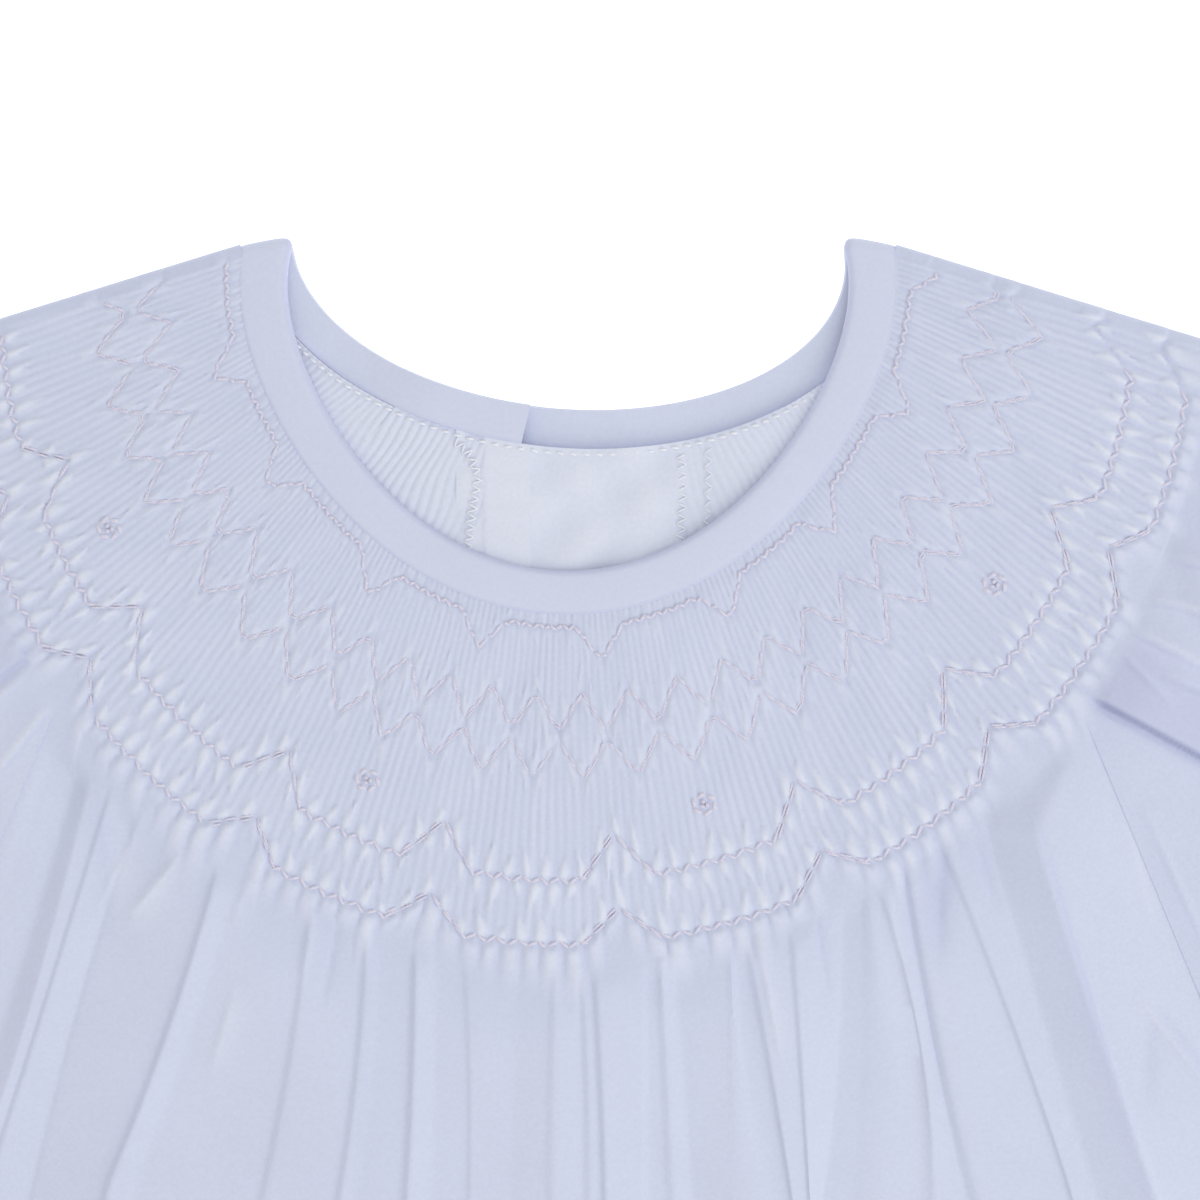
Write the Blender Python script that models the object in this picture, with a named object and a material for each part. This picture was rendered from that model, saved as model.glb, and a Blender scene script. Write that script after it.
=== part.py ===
"""Bishop dress for an infant in white cotton batiste, laid flat on its back.

The origin is on the surface that the dress lies on, at the middle of the body at
underarm level: +X to the right as seen, +Y toward the neck, +Z up.
Sizes are in millimetres, and mesh_object turns them into metres.
"""

import math
from collections import namedtuple

import bmesh
import bpy
import numpy as np

MM = 0.001
SEAM_GAP = 0.3

# Walls and levels above the surface.
SKIRT_WALL = 1.3
YOKE_VALLEY = 1.4
YOKE_CREST = 2.3
BAND_CREST = 1.9
STITCH_VALLEY = 2.2
STITCH_CREST = 2.6
LOWER_WALL = 1.3
BACK_YOKE_WALL = 2.0
FACING_WALL = 2.6
BAND_WALL = 1.8
FRONT_BAND_WALL = 2.3
LAP_LIFT = 2.9
LAP_WALL = 1.4
FOLD_BASE = 2.2
YOKE_BASE = 4.8
SEAM_BASE = 1.6
BASE_CROWN = 2.6
FOLD_REACH = 2.2
TURN_STEPS = 5

# Neck, measured about its centre; angles run from straight down to the shoulder.
NECK_Y = 115.8
BAND_SWEEP = 96.0
YOKE_SWEEP = 84.5
FREE_SWEEP = 99.0
Ring = namedtuple("Ring", "angle free_edge seam_edge yoke_edge")
RINGS = (
    Ring(angle=0, free_edge=46.7, seam_edge=53.7, yoke_edge=112.3),
    Ring(angle=22, free_edge=46.0, seam_edge=53.2, yoke_edge=111.6),
    Ring(angle=45, free_edge=44.9, seam_edge=52.2, yoke_edge=109.8),
    Ring(angle=70, free_edge=45.4, seam_edge=53.0, yoke_edge=108.2),
    Ring(angle=98, free_edge=46.9, seam_edge=55.0, yoke_edge=107.0),
)
BACK_NECK_DEPTH = 27.0
BACK_NECK_SHIFT = 4.5
BACK_RAGLAN_TURN = 38.0
BAND_LAST_TURN = 84.0
BAND_SECTIONS = 37
BACK_BAND_SECTIONS = 11
BAND_END_SPACE = 4.0
LAP_BEND_SPACE = 3.0
BAND_CORNER_POWER = 6

# Raglan seams, underarm, sleeve end and hem.
RAGLAN = 0.604
UNDERARM_Y = 0.0
HEM_CORNER = (228.0, -292.0)
HEM_MIDDLE = -306.0
CUFF_LOW = (110.0, -4.0)
CUFF_TOP = (153.0, 84.5)
SLEEVE_BULGE = 5.0

# Pleats of the smocked yoke, and the stitched lines across them.
FRONT_PLEATS = 88
SLEEVE_PLEATS = 28
WAVE_PEAKS = (-0.818, -0.615, -0.359, -0.151, 0.055, 0.285, 0.514, 0.755, 0.990)
PEAK_WIDTH = 0.19
ZIGZAGS = 3
FLOWER_RISE = 1.1
FLOWER_WIDTH = 0.16
FOLD_CALM = 0.04
YOKE_INNER_COLUMNS = 23
SLEEVE_INNER_COLUMNS = 9
Line = namedtuple("Line", "name radius peak zigzag stitched")
LINES = (
    Line(name="band seam", radius=54.0, peak=0.0, zigzag=0.0, stitched=False),
    Line(name="neck cable", radius=56.6, peak=5.4, zigzag=0.0, stitched=True),
    Line(name="above trellis", radius=64.6, peak=0.0, zigzag=0.0, stitched=False),
    Line(name="inner zigzag", radius=70.3, peak=0.0, zigzag=3.4, stitched=True),
    Line(name="outer zigzag", radius=78.2, peak=0.0, zigzag=-3.4, stitched=True),
    Line(name="flowers", radius=88.6, peak=0.0, zigzag=0.0, stitched=False),
    Line(name="upper scallops", radius=98.4, peak=-7.6, zigzag=0.0, stitched=True),
    Line(name="between scallops", radius=103.2, peak=-3.4, zigzag=0.0, stitched=False),
    Line(name="lower scallops", radius=109.0, peak=-5.8, zigzag=0.0, stitched=True),
    Line(name="yoke edge", radius=112.3, peak=0.0, zigzag=0.0, stitched=False),
)
INNER_LINES = (0, 3, 6, len(LINES) - 1)

# Folds of the skirt: where each valley lies across the front, and how deep it is.
Valley = namedtuple("Valley", "across depth")
VALLEYS = (
    Valley(across=-1.000, depth=1.0),
    Valley(across=-0.925, depth=0.7),
    Valley(across=-0.757, depth=0.8),
    Valley(across=-0.644, depth=1.0),
    Valley(across=-0.546, depth=0.4),
    Valley(across=-0.426, depth=0.8),
    Valley(across=-0.307, depth=0.7),
    Valley(across=-0.225, depth=0.7),
    Valley(across=-0.074, depth=1.0),
    Valley(across=0.024, depth=0.6),
    Valley(across=0.101, depth=0.7),
    Valley(across=0.171, depth=0.9),
    Valley(across=0.226, depth=0.7),
    Valley(across=0.285, depth=0.7),
    Valley(across=0.334, depth=1.0),
    Valley(across=0.404, depth=0.7),
    Valley(across=0.509, depth=1.0),
    Valley(across=0.573, depth=0.9),
    Valley(across=0.700, depth=0.8),
    Valley(across=0.819, depth=1.0),
    Valley(across=1.000, depth=1.0),
)
SKIRT_RISE = 3.0
NARROW_RISE = 0.45
WIDE_FOLD = 0.11
FOLD_START = 0.25
FOLD_FULL_AT = 0.3
FOLD_ROUNDNESS = 0.8
SHALLOW_VALLEY = 0.5
LAP_END_AT = 0.21
LAP_FADE = 0.16
EDGE_POWER = 8
SKIRT_ROWS = (0.014, 0.07, 0.137, 0.24, 0.42, 0.70, 1.0)
FOLD_STEPS = 4

# Folds of the sleeves and waves of the cuffs.
SLEEVE_FOLDS = 8
SLEEVE_RISE = 2.2
SLEEVE_PUFF = 1.2
SLEEVE_ROWS = (0.03, 0.22, 0.45, 0.68, 0.88, 1.0)
SLEEVE_START = 0.35
SLEEVE_FOLD_CALM = 6.0
UNDERARM_ROW = 0.88
LOWER_COLUMNS = 7
TURN_SHARE = 0.2
CUFF_WAVES = 9
CUFF_LENGTH = 13.0
CUFF_FLARE = 5.0
CUFF_RISE = 1.8
CUFF_START = 0.35
CUFF_WALL = 1.2
CUFF_ROWS = (0.0, 0.25, 0.6, 1.0)
CUFF_LOWER_COLUMNS = 9
CUFF_TURN_STEPS = 4

# Back opening: where each half ends, and the facing of the lower half.
LAP_LEFT_EDGE = -6.3
LAP_RIGHT_EDGE = -18.7
CENTRE_SEAM = -12.5
PLACKET_END = -15.0
RIGHT_FACING_EDGE = 19.5
FACING_COLUMNS = 5
LAP_RAMP_START = -19.4
LAP_RAMP_END = -25.0
BACK_SIDE_COLUMNS = 3
BACK_SIDE_CURVE = 1.6

BUTTON_RADIUS = 5.0
BUTTON_THICKNESS = 1.2
BUTTON_HEIGHTS = (78.0, 48.0, 18.0)
BUTTON_HOLE_RADIUS = 0.7
BUTTON_HOLE_SPREAD = 1.5
BUTTON_SIDES = 24
HOLE_SIDES = 8
CUTTER_REACH = 1.0

CLOTH = (0.84, 0.86, 0.90, 1.0)
SHELL_WHITE = (0.90, 0.90, 0.88, 1.0)


def ease(value):
    """0 below 0, 1 above 1, and a smooth step between."""
    value = np.clip(value, 0.0, 1.0)
    return value * value * (3.0 - 2.0 * value)


def blend(start, end, share):
    return np.asarray(start, float) + (np.asarray(end, float) - start) * share


def ring_radius(angle, column):
    angles = [ring.angle for ring in RINGS]
    return np.interp(abs(angle), angles, [getattr(ring, column) for ring in RINGS])


def at_neck(angle, radius):
    """The plan point at this angle and radius about the neck's centre."""
    turn = math.radians(angle)
    return np.array([radius * math.sin(turn), NECK_Y - radius * math.cos(turn)])


def peak_share(sigma):
    """1 on a peak of the smocked waves, falling in a straight line to 0 beside it."""
    nearest = min(range(len(WAVE_PEAKS)), key=lambda i: abs(sigma - WAVE_PEAKS[i]))
    return max(0.0, 1.0 - abs(wave_phase(sigma) - nearest) / PEAK_WIDTH)


def wave_phase(sigma):
    """How many repeats of the smocking lie before this place, counted from the first peak."""
    first, last = WAVE_PEAKS[0], WAVE_PEAKS[-1]
    step = (last - first) / (len(WAVE_PEAKS) - 1)
    if sigma < first:
        return (sigma - first) / step
    if sigma > last:
        return len(WAVE_PEAKS) - 1 + (sigma - last) / step
    return float(np.interp(sigma, WAVE_PEAKS, range(len(WAVE_PEAKS))))


def zigzag(sigma):
    """A triangle wave between -1 and 1, with a whole number of turns in each repeat."""
    turn = (wave_phase(sigma) * ZIGZAGS) % 1.0
    return 4.0 * abs(turn - 0.5) - 1.0


def yoke_point(sigma, line):
    """The plan point where a pleat, from -1 to 1 across the yoke, meets this line."""
    start = at_neck(BAND_SWEEP * sigma, ring_radius(BAND_SWEEP * sigma, "seam_edge") + SEAM_GAP)
    end = at_neck(YOKE_SWEEP * sigma, ring_radius(YOKE_SWEEP * sigma, "yoke_edge"))
    bend = line.peak * peak_share(sigma) + line.zigzag * zigzag(sigma)
    share = (line.radius + bend - LINES[0].radius) / (LINES[-1].radius - LINES[0].radius)
    return blend(start, end, share)


def yoke_base(sigma):
    """How high the plain underside of the yoke's upper layer is."""
    return FOLD_BASE + (YOKE_BASE - FOLD_BASE) * (1.0 - abs(sigma) ** BASE_CROWN)


def yoke_height(sigma, line, crest):
    """The yoke's outer face above its plain underside."""
    if line.stitched:
        return STITCH_CREST if crest else STITCH_VALLEY
    if line.name == "band seam":
        return BAND_CREST if crest else YOKE_VALLEY
    height = YOKE_CREST if crest else YOKE_VALLEY
    if line.name == "flowers" and int(math.floor(wave_phase(sigma))) % 2 == 0:
        from_middle = abs(wave_phase(sigma) % 1.0 - 0.5)
        height += FLOWER_RISE * max(0.0, 1.0 - from_middle / FLOWER_WIDTH)
    return height


def strip(faces, first, second, first_share, second_share):
    """Triangles between two rows of points that may differ in number."""
    i = j = 0
    while i < len(first) - 1 or j < len(second) - 1:
        last_i = i == len(first) - 1
        last_j = j == len(second) - 1
        if last_j or (not last_i and first_share[i + 1] <= second_share[j + 1]):
            faces.append((first[i], first[i + 1], second[j]))
            i += 1
        else:
            faces.append((first[i], second[j + 1], second[j]))
            j += 1


def mesh_object(name, points, faces, material):
    mesh = bpy.data.meshes.new(name)
    scene_object = bpy.data.objects.new(name, mesh)
    bpy.context.scene.collection.objects.link(scene_object)
    shape = bmesh.new()
    corners = [shape.verts.new(np.asarray(point, float) * MM) for point in points]
    for face in faces:
        shape.faces.new([corners[index] for index in face])
    bmesh.ops.recalc_face_normals(shape, faces=shape.faces)
    shape.to_mesh(mesh)
    shape.free()
    mesh.materials.append(material)
    mesh.shade_smooth()
    mesh.set_sharp_from_angle(angle=math.radians(50))
    return scene_object


def shell(name, outer, inner, material, closed=False):
    """A cloth wall from rows of (place along, shares across, points), outside and inside."""
    points = []
    faces = []
    sides = []
    for rows in (outer, inner):
        numbered = []
        for along, across, row in rows:
            first = len(points)
            points.extend(row)
            numbers = list(range(first, len(points)))
            shares = list(across)
            if closed:
                numbers.append(first)
                shares.append(shares[-1] + 1.0)
            numbered.append((along, shares, numbers))
        for above, below in zip(numbered, numbered[1:]):
            strip(faces, above[2], below[2], above[1], below[1])
        sides.append(numbered)
    for end in (0, -1):
        first, second = sides[0][end], sides[1][end]
        strip(faces, first[2], second[2], first[1], second[1])
        if not closed:
            edges = [[row[2][end] for row in side] for side in sides]
            places = [[row[0] for row in side] for side in sides]
            strip(faces, edges[0], edges[1], places[0], places[1])
    return mesh_object(name, points, faces, material)


def cloth_material(name, colour, roughness):
    material = bpy.data.materials.new(name)
    material.use_nodes = True
    surface = material.node_tree.nodes["Principled BSDF"]
    surface.inputs["Base Color"].default_value = colour
    surface.inputs["Roughness"].default_value = roughness
    surface.inputs["Metallic"].default_value = 0.0
    return material


def raised(plan, height):
    return np.array([plan[0], plan[1], height])


def across_seam(line):
    """The share of the yoke's width that half a seam gap takes on this line."""
    return SEAM_GAP / 2 / math.radians(YOKE_SWEEP) / line.radius


def underarm():
    """Where the straight line from the yoke's corner to the hem's corner passes the underarm."""
    start = yoke_point(RAGLAN, LINES[-1])
    share = (start[1] - UNDERARM_Y) / (start[1] - HEM_CORNER[1])
    return blend(start, HEM_CORNER, share), share


def skirt_plan(across, down):
    """The front from its yoke edge to its hem: a fan of straight lines."""
    top = yoke_point(across * RAGLAN, LINES[-1])
    hem_y = HEM_MIDDLE + (HEM_CORNER[1] - HEM_MIDDLE) * across**2
    hem = np.array([HEM_CORNER[0] * across, hem_y])
    plan = blend(top, hem, down)
    plan[0] -= math.copysign(SEAM_GAP / 2, across) * abs(across) ** EDGE_POWER
    return plan


def skirt_base(across, down):
    """The underside of the front between folds: over the lapped back, then on the plain back."""
    edge_start = yoke_base(RAGLAN)
    edge = SEAM_BASE + (edge_start - SEAM_BASE) * (1.0 - ease(down / underarm()[1]))
    middle = SEAM_BASE + (YOKE_BASE - SEAM_BASE) * (1.0 - ease((down - LAP_END_AT) / LAP_FADE))
    return edge + (middle - edge) * (1.0 - abs(across) ** BASE_CROWN)


def skirt_fold(index, share, down):
    """The rise of the cloth between one valley and the next."""
    left, right = VALLEYS[index], VALLEYS[index + 1]
    width = right.across - left.across
    crest = SKIRT_RISE * float(blend(NARROW_RISE, 1.0, min(1.0, width / WIDE_FOLD)))
    floor = crest * (1.0 - blend(left.depth, right.depth, share)) * SHALLOW_VALLEY
    reach = FOLD_START + (1.0 - FOLD_START) * ease(down / FOLD_FULL_AT)
    return reach * (floor + (crest - floor) * math.sin(math.pi * share) ** FOLD_ROUNDNESS)


def skirt_row(down, wall):
    shares = []
    row = []
    for index in range(len(VALLEYS) - 1):
        steps = FOLD_STEPS + (index == len(VALLEYS) - 2)
        for step in range(steps):
            share = step / FOLD_STEPS
            across = float(blend(VALLEYS[index].across, VALLEYS[index + 1].across, share))
            height = skirt_base(across, down) + skirt_fold(index, share, down) + wall
            shares.append(across)
            row.append(raised(skirt_plan(across, down), height))
    return 1.0 + down, shares, row


def make_front(material):
    outer = []
    columns = 2 * FRONT_PLEATS
    for number, line in enumerate(LINES):
        shares = np.linspace(-1.0, 1.0, columns + 1)
        row = []
        for column, across in enumerate(shares):
            sigma = across * (RAGLAN - across_seam(line))
            height = yoke_base(sigma) + yoke_height(sigma, line, column % 2 == 1)
            row.append(raised(yoke_point(sigma, line), height))
        outer.append((number / (len(LINES) - 1), shares, row))
    inner = []
    for number in INNER_LINES:
        shares = np.linspace(-1.0, 1.0, YOKE_INNER_COLUMNS)
        plain = LINES[number]._replace(peak=0.0, zigzag=0.0)
        row = []
        for across in shares:
            sigma = across * (RAGLAN - across_seam(line))
            row.append(raised(yoke_point(sigma, plain), yoke_base(sigma)))
        inner.append((number / (len(LINES) - 1), shares, row))
    outer += [skirt_row(down, SKIRT_WALL) for down in SKIRT_ROWS]
    inner += [skirt_row(down, 0.0) for down in SKIRT_ROWS]
    return shell("front", outer, inner, material)


def back_neck(turn, offset):
    """A point of the back neckline, 0 at its lowest and 90 at a shoulder, moved out from its edge."""
    angle = math.radians(turn)
    tip = at_neck(FREE_SWEEP, ring_radius(FREE_SWEEP, "free_edge"))
    x = (tip[0] + offset) * math.sin(angle) + BACK_NECK_SHIFT * math.cos(angle)
    y = tip[1] - (BACK_NECK_DEPTH + offset) * math.cos(angle)
    return np.array([x, y])


def back_neck_turn(x, offset):
    """The turn along the back neckline at which it is at this x."""
    turns = np.linspace(-60.0, 60.0, 241)
    return float(np.interp(x, [back_neck(turn, offset)[0] for turn in turns], turns))


def band_width():
    return RINGS[0].seam_edge - RINGS[0].free_edge


def raglan_back(side, share):
    """The back raglan seam, from the band to the underarm, then down the side seam to the hem."""
    start = back_neck(side * BACK_RAGLAN_TURN, band_width() + SEAM_GAP)
    corner = underarm()[0] * (side, 1)
    hem = np.array([side * HEM_CORNER[0], HEM_CORNER[1]])
    if share <= 1.0:
        return blend(start, corner, share)
    return blend(corner, hem, share - 1.0)


# The first row follows the neckline; the share runs down the raglan seam, then the side seam.
BackRow = namedtuple("BackRow", "y side_share yoke")
BACK_ROWS = (
    BackRow(y=math.inf, side_share=0.0, yoke=1.0),
    BackRow(y=72.0, side_share=0.25, yoke=1.0),
    BackRow(y=40.0, side_share=0.55, yoke=1.0),
    BackRow(y=10.0, side_share=0.82, yoke=0.6),
    BackRow(y=PLACKET_END + 2.0, side_share=0.98, yoke=0.0),
    BackRow(y=PLACKET_END + 1.0, side_share=0.99, yoke=0.0),
    BackRow(y=PLACKET_END - 0.6, side_share=1.0, yoke=0.0),
    BackRow(y=PLACKET_END - 8.0, side_share=1.02, yoke=0.0),
    BackRow(y=-110.0, side_share=1.32, yoke=0.0),
    BackRow(y=-205.0, side_share=1.65, yoke=0.0),
    BackRow(y=HEM_MIDDLE, side_share=2.0, yoke=0.0),
)


def make_back(side, material):
    """One back half: flat below, thicker at the yoke, with its facing or lap at the opening."""
    right = side > 0
    outer = []
    inner = []
    for number, data in enumerate(BACK_ROWS):
        open_row = data.y > PLACKET_END + (1.5 if right else 0.0)
        faced = data.y > PLACKET_END - 1.0
        if right:
            edge_x = LAP_RIGHT_EDGE if open_row else CENTRE_SEAM + SEAM_GAP / 2
            near = list(np.linspace(edge_x, RIGHT_FACING_EDGE, FACING_COLUMNS))
            near.append(RIGHT_FACING_EDGE + 1.0)
        else:
            edge_x = LAP_LEFT_EDGE if open_row else CENTRE_SEAM - SEAM_GAP / 2
            near = [edge_x, (edge_x + LAP_RAMP_START) / 2, LAP_RAMP_START, LAP_RAMP_END]
        end = raglan_back(side, data.side_share)
        end[0] -= side * SEAM_GAP / 2
        far = list(np.linspace(near[-1], end[0], BACK_SIDE_COLUMNS + 1)[1:])
        plans = []
        for x in near + far:
            if number == 0:
                offset = band_width() + SEAM_GAP
                plans.append(back_neck(back_neck_turn(x, offset), offset))
            else:
                share = (x - edge_x) / (end[0] - edge_x)
                plans.append(np.array([x, data.y + (end[1] - data.y) * share**BACK_SIDE_CURVE]))
        under = []
        over = []
        for column, plan in enumerate(plans):
            wall = blend(SKIRT_WALL, BACK_YOKE_WALL, data.yoke)
            lift = 0.0
            if right and faced and column < FACING_COLUMNS:
                wall = FACING_WALL
            if not right and faced and column < len(near) - 1:
                wall = LAP_WALL
                lift = LAP_LIFT
            under.append(raised(plan, lift))
            over.append(raised(plan, lift + float(wall)))
        shares = np.linspace(0.0, 1.0, len(plans))
        outer.append((number, shares, under))
        inner.append((number, shares, over))
    return shell("back_right" if right else "back_left", outer, inner, material)


def turned_edge(edge, outward, low, high, reach, steps=TURN_STEPS):
    """Points of a fold's half turn from the lower face to the upper one."""
    middle = (low + high) / 2
    row = []
    for step in range(1, steps):
        angle = math.pi * step / steps
        plan = edge + outward * reach * math.sin(angle)
        row.append(raised(plan, middle - (high - low) / 2 * math.cos(angle)))
    return row


def shoulder_way(start, end):
    """The direction in plan that points out of a fold along this line."""
    line = np.asarray(end, float) - start
    across = np.array([-line[1], line[0]]) / np.hypot(*line)
    return across if across[1] > 0 else -across


def sleeve_edge(share):
    """The upper layer's lower edge: the raglan seam, then the short underarm seam."""
    start = yoke_point(RAGLAN, LINES[-1])
    if share <= UNDERARM_ROW:
        plan = blend(start, underarm()[0], share / UNDERARM_ROW)
    else:
        plan = blend(underarm()[0], CUFF_LOW, (share - UNDERARM_ROW) / (1.0 - UNDERARM_ROW))
    return plan + np.array([SEAM_GAP / 2 * (share <= UNDERARM_ROW), 0.0])


def cuff_way():
    """The direction along the sleeve's end, from the underarm to the fold."""
    line = np.subtract(CUFF_TOP, CUFF_LOW)
    return line / np.hypot(*line)


def sleeve_top(share):
    """The sleeve's folded top edge past the yoke, with the puff's bulge."""
    start = yoke_point(1.0, LINES[-1])
    outward = shoulder_way(start, CUFF_TOP)
    return blend(start, CUFF_TOP, share) + outward * SLEEVE_BULGE * math.sin(math.pi * share)


def lower_row(side, fold_plan, back_edge, along_band, height):
    """The layer that lies on the surface, from the back seam to the fold."""
    row = []
    steps = LOWER_COLUMNS - 1
    for step in range(LOWER_COLUMNS):
        plan = blend(back_edge, fold_plan, step / steps)
        if along_band and step < steps:
            turn = float(blend(BACK_RAGLAN_TURN, BAND_LAST_TURN, step / (steps - 1)))
            plan = back_neck(side * turn, band_width() + SEAM_GAP) * (side, 1)
        row.append(raised(plan, height))
    return row


def sleeve_shares(upper_count):
    lower = np.linspace(0.0, 1.0, LOWER_COLUMNS)
    fold = np.linspace(1.0, 1.0 + TURN_SHARE, TURN_STEPS + 1)[1:-1]
    upper = np.linspace(1.0 + TURN_SHARE, 2.0 + TURN_SHARE, upper_count)
    return np.concatenate([lower, fold, upper])


def sleeve_plan(fold_plan, edge, across, share):
    """The puff's upper layer: straight from fold to seam, with the yoke edge's arc fading out of it."""
    corner = yoke_point(RAGLAN, LINES[-1])
    shoulder = yoke_point(1.0, LINES[-1])
    arc = yoke_point(1.0 + (RAGLAN - 1.0) * across, LINES[-1]) - blend(shoulder, corner, across)
    return blend(fold_plan, edge, across) + arc * (1.0 - share) ** 2


def make_sleeve(side, material):
    """A raglan sleeve folded at the shoulder: pleats above, then the puff, over a flat lower layer."""
    outer = []
    inner = []
    shoulder = shoulder_way(yoke_point(1.0, LINES[0]), yoke_point(1.0, LINES[-1]))
    columns = 2 * SLEEVE_PLEATS
    for number, line in enumerate(LINES):
        place = number / (len(LINES) - 1)
        fold_plan = yoke_point(1.0, line._replace(peak=0.0, zigzag=0.0))
        back_edge = raglan_back(side, 0.5 * place) * (side, 1) + (SEAM_GAP / 2, 0.0)
        first = RAGLAN + across_seam(line)
        upper = []
        for column in range(columns + 1):
            sigma = 1.0 + (first - 1.0) * column / columns
            calm = ease((1.0 - sigma) / FOLD_CALM)
            bent = line._replace(peak=line.peak * calm, zigzag=line.zigzag * calm)
            height = yoke_base(sigma) + yoke_height(sigma, line, column % 2 == 1)
            upper.append(raised(yoke_point(sigma, bent), height))
        row = lower_row(side, fold_plan, back_edge, number == 0, 0.0)
        row += turned_edge(fold_plan, shoulder, 0.0, upper[0][2], FOLD_REACH)
        outer.append((place, sleeve_shares(columns + 1), row + upper))
        if number not in INNER_LINES:
            continue
        plain = line._replace(peak=0.0, zigzag=0.0)
        upper = []
        for share in np.linspace(0.0, 1.0, SLEEVE_INNER_COLUMNS):
            sigma = 1.0 + (first - 1.0) * share
            upper.append(raised(yoke_point(sigma, plain), yoke_base(sigma)))
        row = lower_row(side, fold_plan, back_edge, number == 0, LOWER_WALL)
        row += turned_edge(fold_plan, shoulder, LOWER_WALL, FOLD_BASE, FOLD_REACH - LOWER_WALL)
        inner.append((place, sleeve_shares(SLEEVE_INNER_COLUMNS), row + upper))
    steps = SLEEVE_FOLDS * FOLD_STEPS
    for share in SLEEVE_ROWS:
        fold_plan = sleeve_top(share)
        edge = sleeve_edge(share)
        back_edge = raglan_back(side, min(1.0, 0.5 + 0.5 * share / UNDERARM_ROW))
        back_edge = back_edge * (side, 1) + (SEAM_GAP / 2, 0.0)
        if share > UNDERARM_ROW:
            back_edge = edge
        outward = blend(shoulder, cuff_way(), ease(share))
        outward /= np.hypot(*outward)
        edge_base = SEAM_BASE + (yoke_base(RAGLAN) - SEAM_BASE) * (1.0 - ease(share / UNDERARM_ROW))
        reach = SLEEVE_START + (1.0 - SLEEVE_START) * math.sin(math.pi * share)
        above = []
        below = []
        for step in range(steps + 1):
            across = step / steps
            fold = abs(math.sin(math.pi * SLEEVE_FOLDS * across)) ** FOLD_ROUNDNESS
            puff = SLEEVE_PUFF * math.sin(math.pi * across) * math.sin(math.pi * share)
            base = float(blend(FOLD_BASE, edge_base, ease(across)))
            base += puff + SLEEVE_RISE * reach * fold * ease(across * SLEEVE_FOLD_CALM)
            plan = sleeve_plan(fold_plan, edge, across, share)
            below.append(raised(plan, base))
            above.append(raised(plan, base + SKIRT_WALL))
        low = lower_row(side, fold_plan, back_edge, False, 0.0)
        high = lower_row(side, fold_plan, back_edge, False, LOWER_WALL)
        low += turned_edge(fold_plan, outward, 0.0, above[0][2], FOLD_REACH)
        high += turned_edge(fold_plan, outward, LOWER_WALL, below[0][2], FOLD_REACH - LOWER_WALL)
        outer.append((1.0 + share, sleeve_shares(steps + 1), low + above))
        inner.append((1.0 + share, sleeve_shares(steps + 1), high + below))
    for rows in (outer, inner):
        for _, _, row in rows:
            for point in row:
                point[0] *= side
    return shell("sleeve_right" if side > 0 else "sleeve_left", outer, inner, material)


Corner = namedtuple("Corner", "across height")
BAND_PROFILE = (
    Corner(across=0.0, height=0.25),
    Corner(across=0.0, height=0.75),
    Corner(across=0.10, height=1.0),
    Corner(across=0.90, height=1.0),
    Corner(across=1.0, height=0.8),
    Corner(across=1.0, height=0.0),
    Corner(across=0.08, height=0.0),
)


def band_section(free, seam, inner, outward, wall):
    """The band's outline at one place: from its free edge to its seam, raised along outward."""
    section = []
    for corner in BAND_PROFILE:
        plan = blend(free, seam, corner.across)
        section.append(np.append(plan, inner) + outward * wall * corner.height)
    return section


def band_back(side, turn):
    """The band lying on the surface behind the neck, lifted where the left end laps the right."""
    free = back_neck(turn, 0.0)
    seam = back_neck(turn, band_width())
    lift = 0.0
    if side < 0:
        ramp = (free[0] - LAP_RAMP_END) / (LAP_RAMP_START - LAP_RAMP_END)
        lift = LAP_LIFT * float(np.clip(ramp, 0.0, 1.0))
    return band_section(free, seam, BAND_WALL + lift, np.array([0.0, 0.0, -1.0]), BAND_WALL)


def band_turns(side):
    """Turns from the shoulder to the band's end, with one at each bend of the lap."""
    edge = LAP_RIGHT_EDGE if side > 0 else LAP_LEFT_EDGE
    end = back_neck_turn(edge, 0.0)
    turns = list(np.linspace(side * BAND_LAST_TURN, end + side * BAND_END_SPACE, BACK_BAND_SECTIONS))
    if side < 0:
        bends = [back_neck_turn(x, 0.0) for x in (LAP_RAMP_END, LAP_RAMP_START)]
        turns = sorted([turn for turn in turns if turn < bends[0] - LAP_BEND_SPACE] + bends)
    return turns + [end]


def band_shoulder(side):
    """The half turn over the shoulder, from the upper layer to the lower."""
    free = at_neck(side * FREE_SWEEP, ring_radius(FREE_SWEEP, "free_edge"))
    seam = at_neck(side * BAND_SWEEP, ring_radius(BAND_SWEEP, "seam_edge"))
    way = shoulder_way(free, seam)
    low, high = BAND_WALL, FOLD_BASE
    sections = []
    for step in range(1, TURN_STEPS):
        angle = math.pi * step / TURN_STEPS
        shift = way * (high - low) * math.sin(angle)
        level = (low + high) / 2 + (high - low) / 2 * math.cos(angle)
        outward = np.array([way[0] * math.sin(angle), way[1] * math.sin(angle), math.cos(angle)])
        sections.append(band_section(free + shift, seam + shift, level, outward, BAND_WALL))
    return sections


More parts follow.
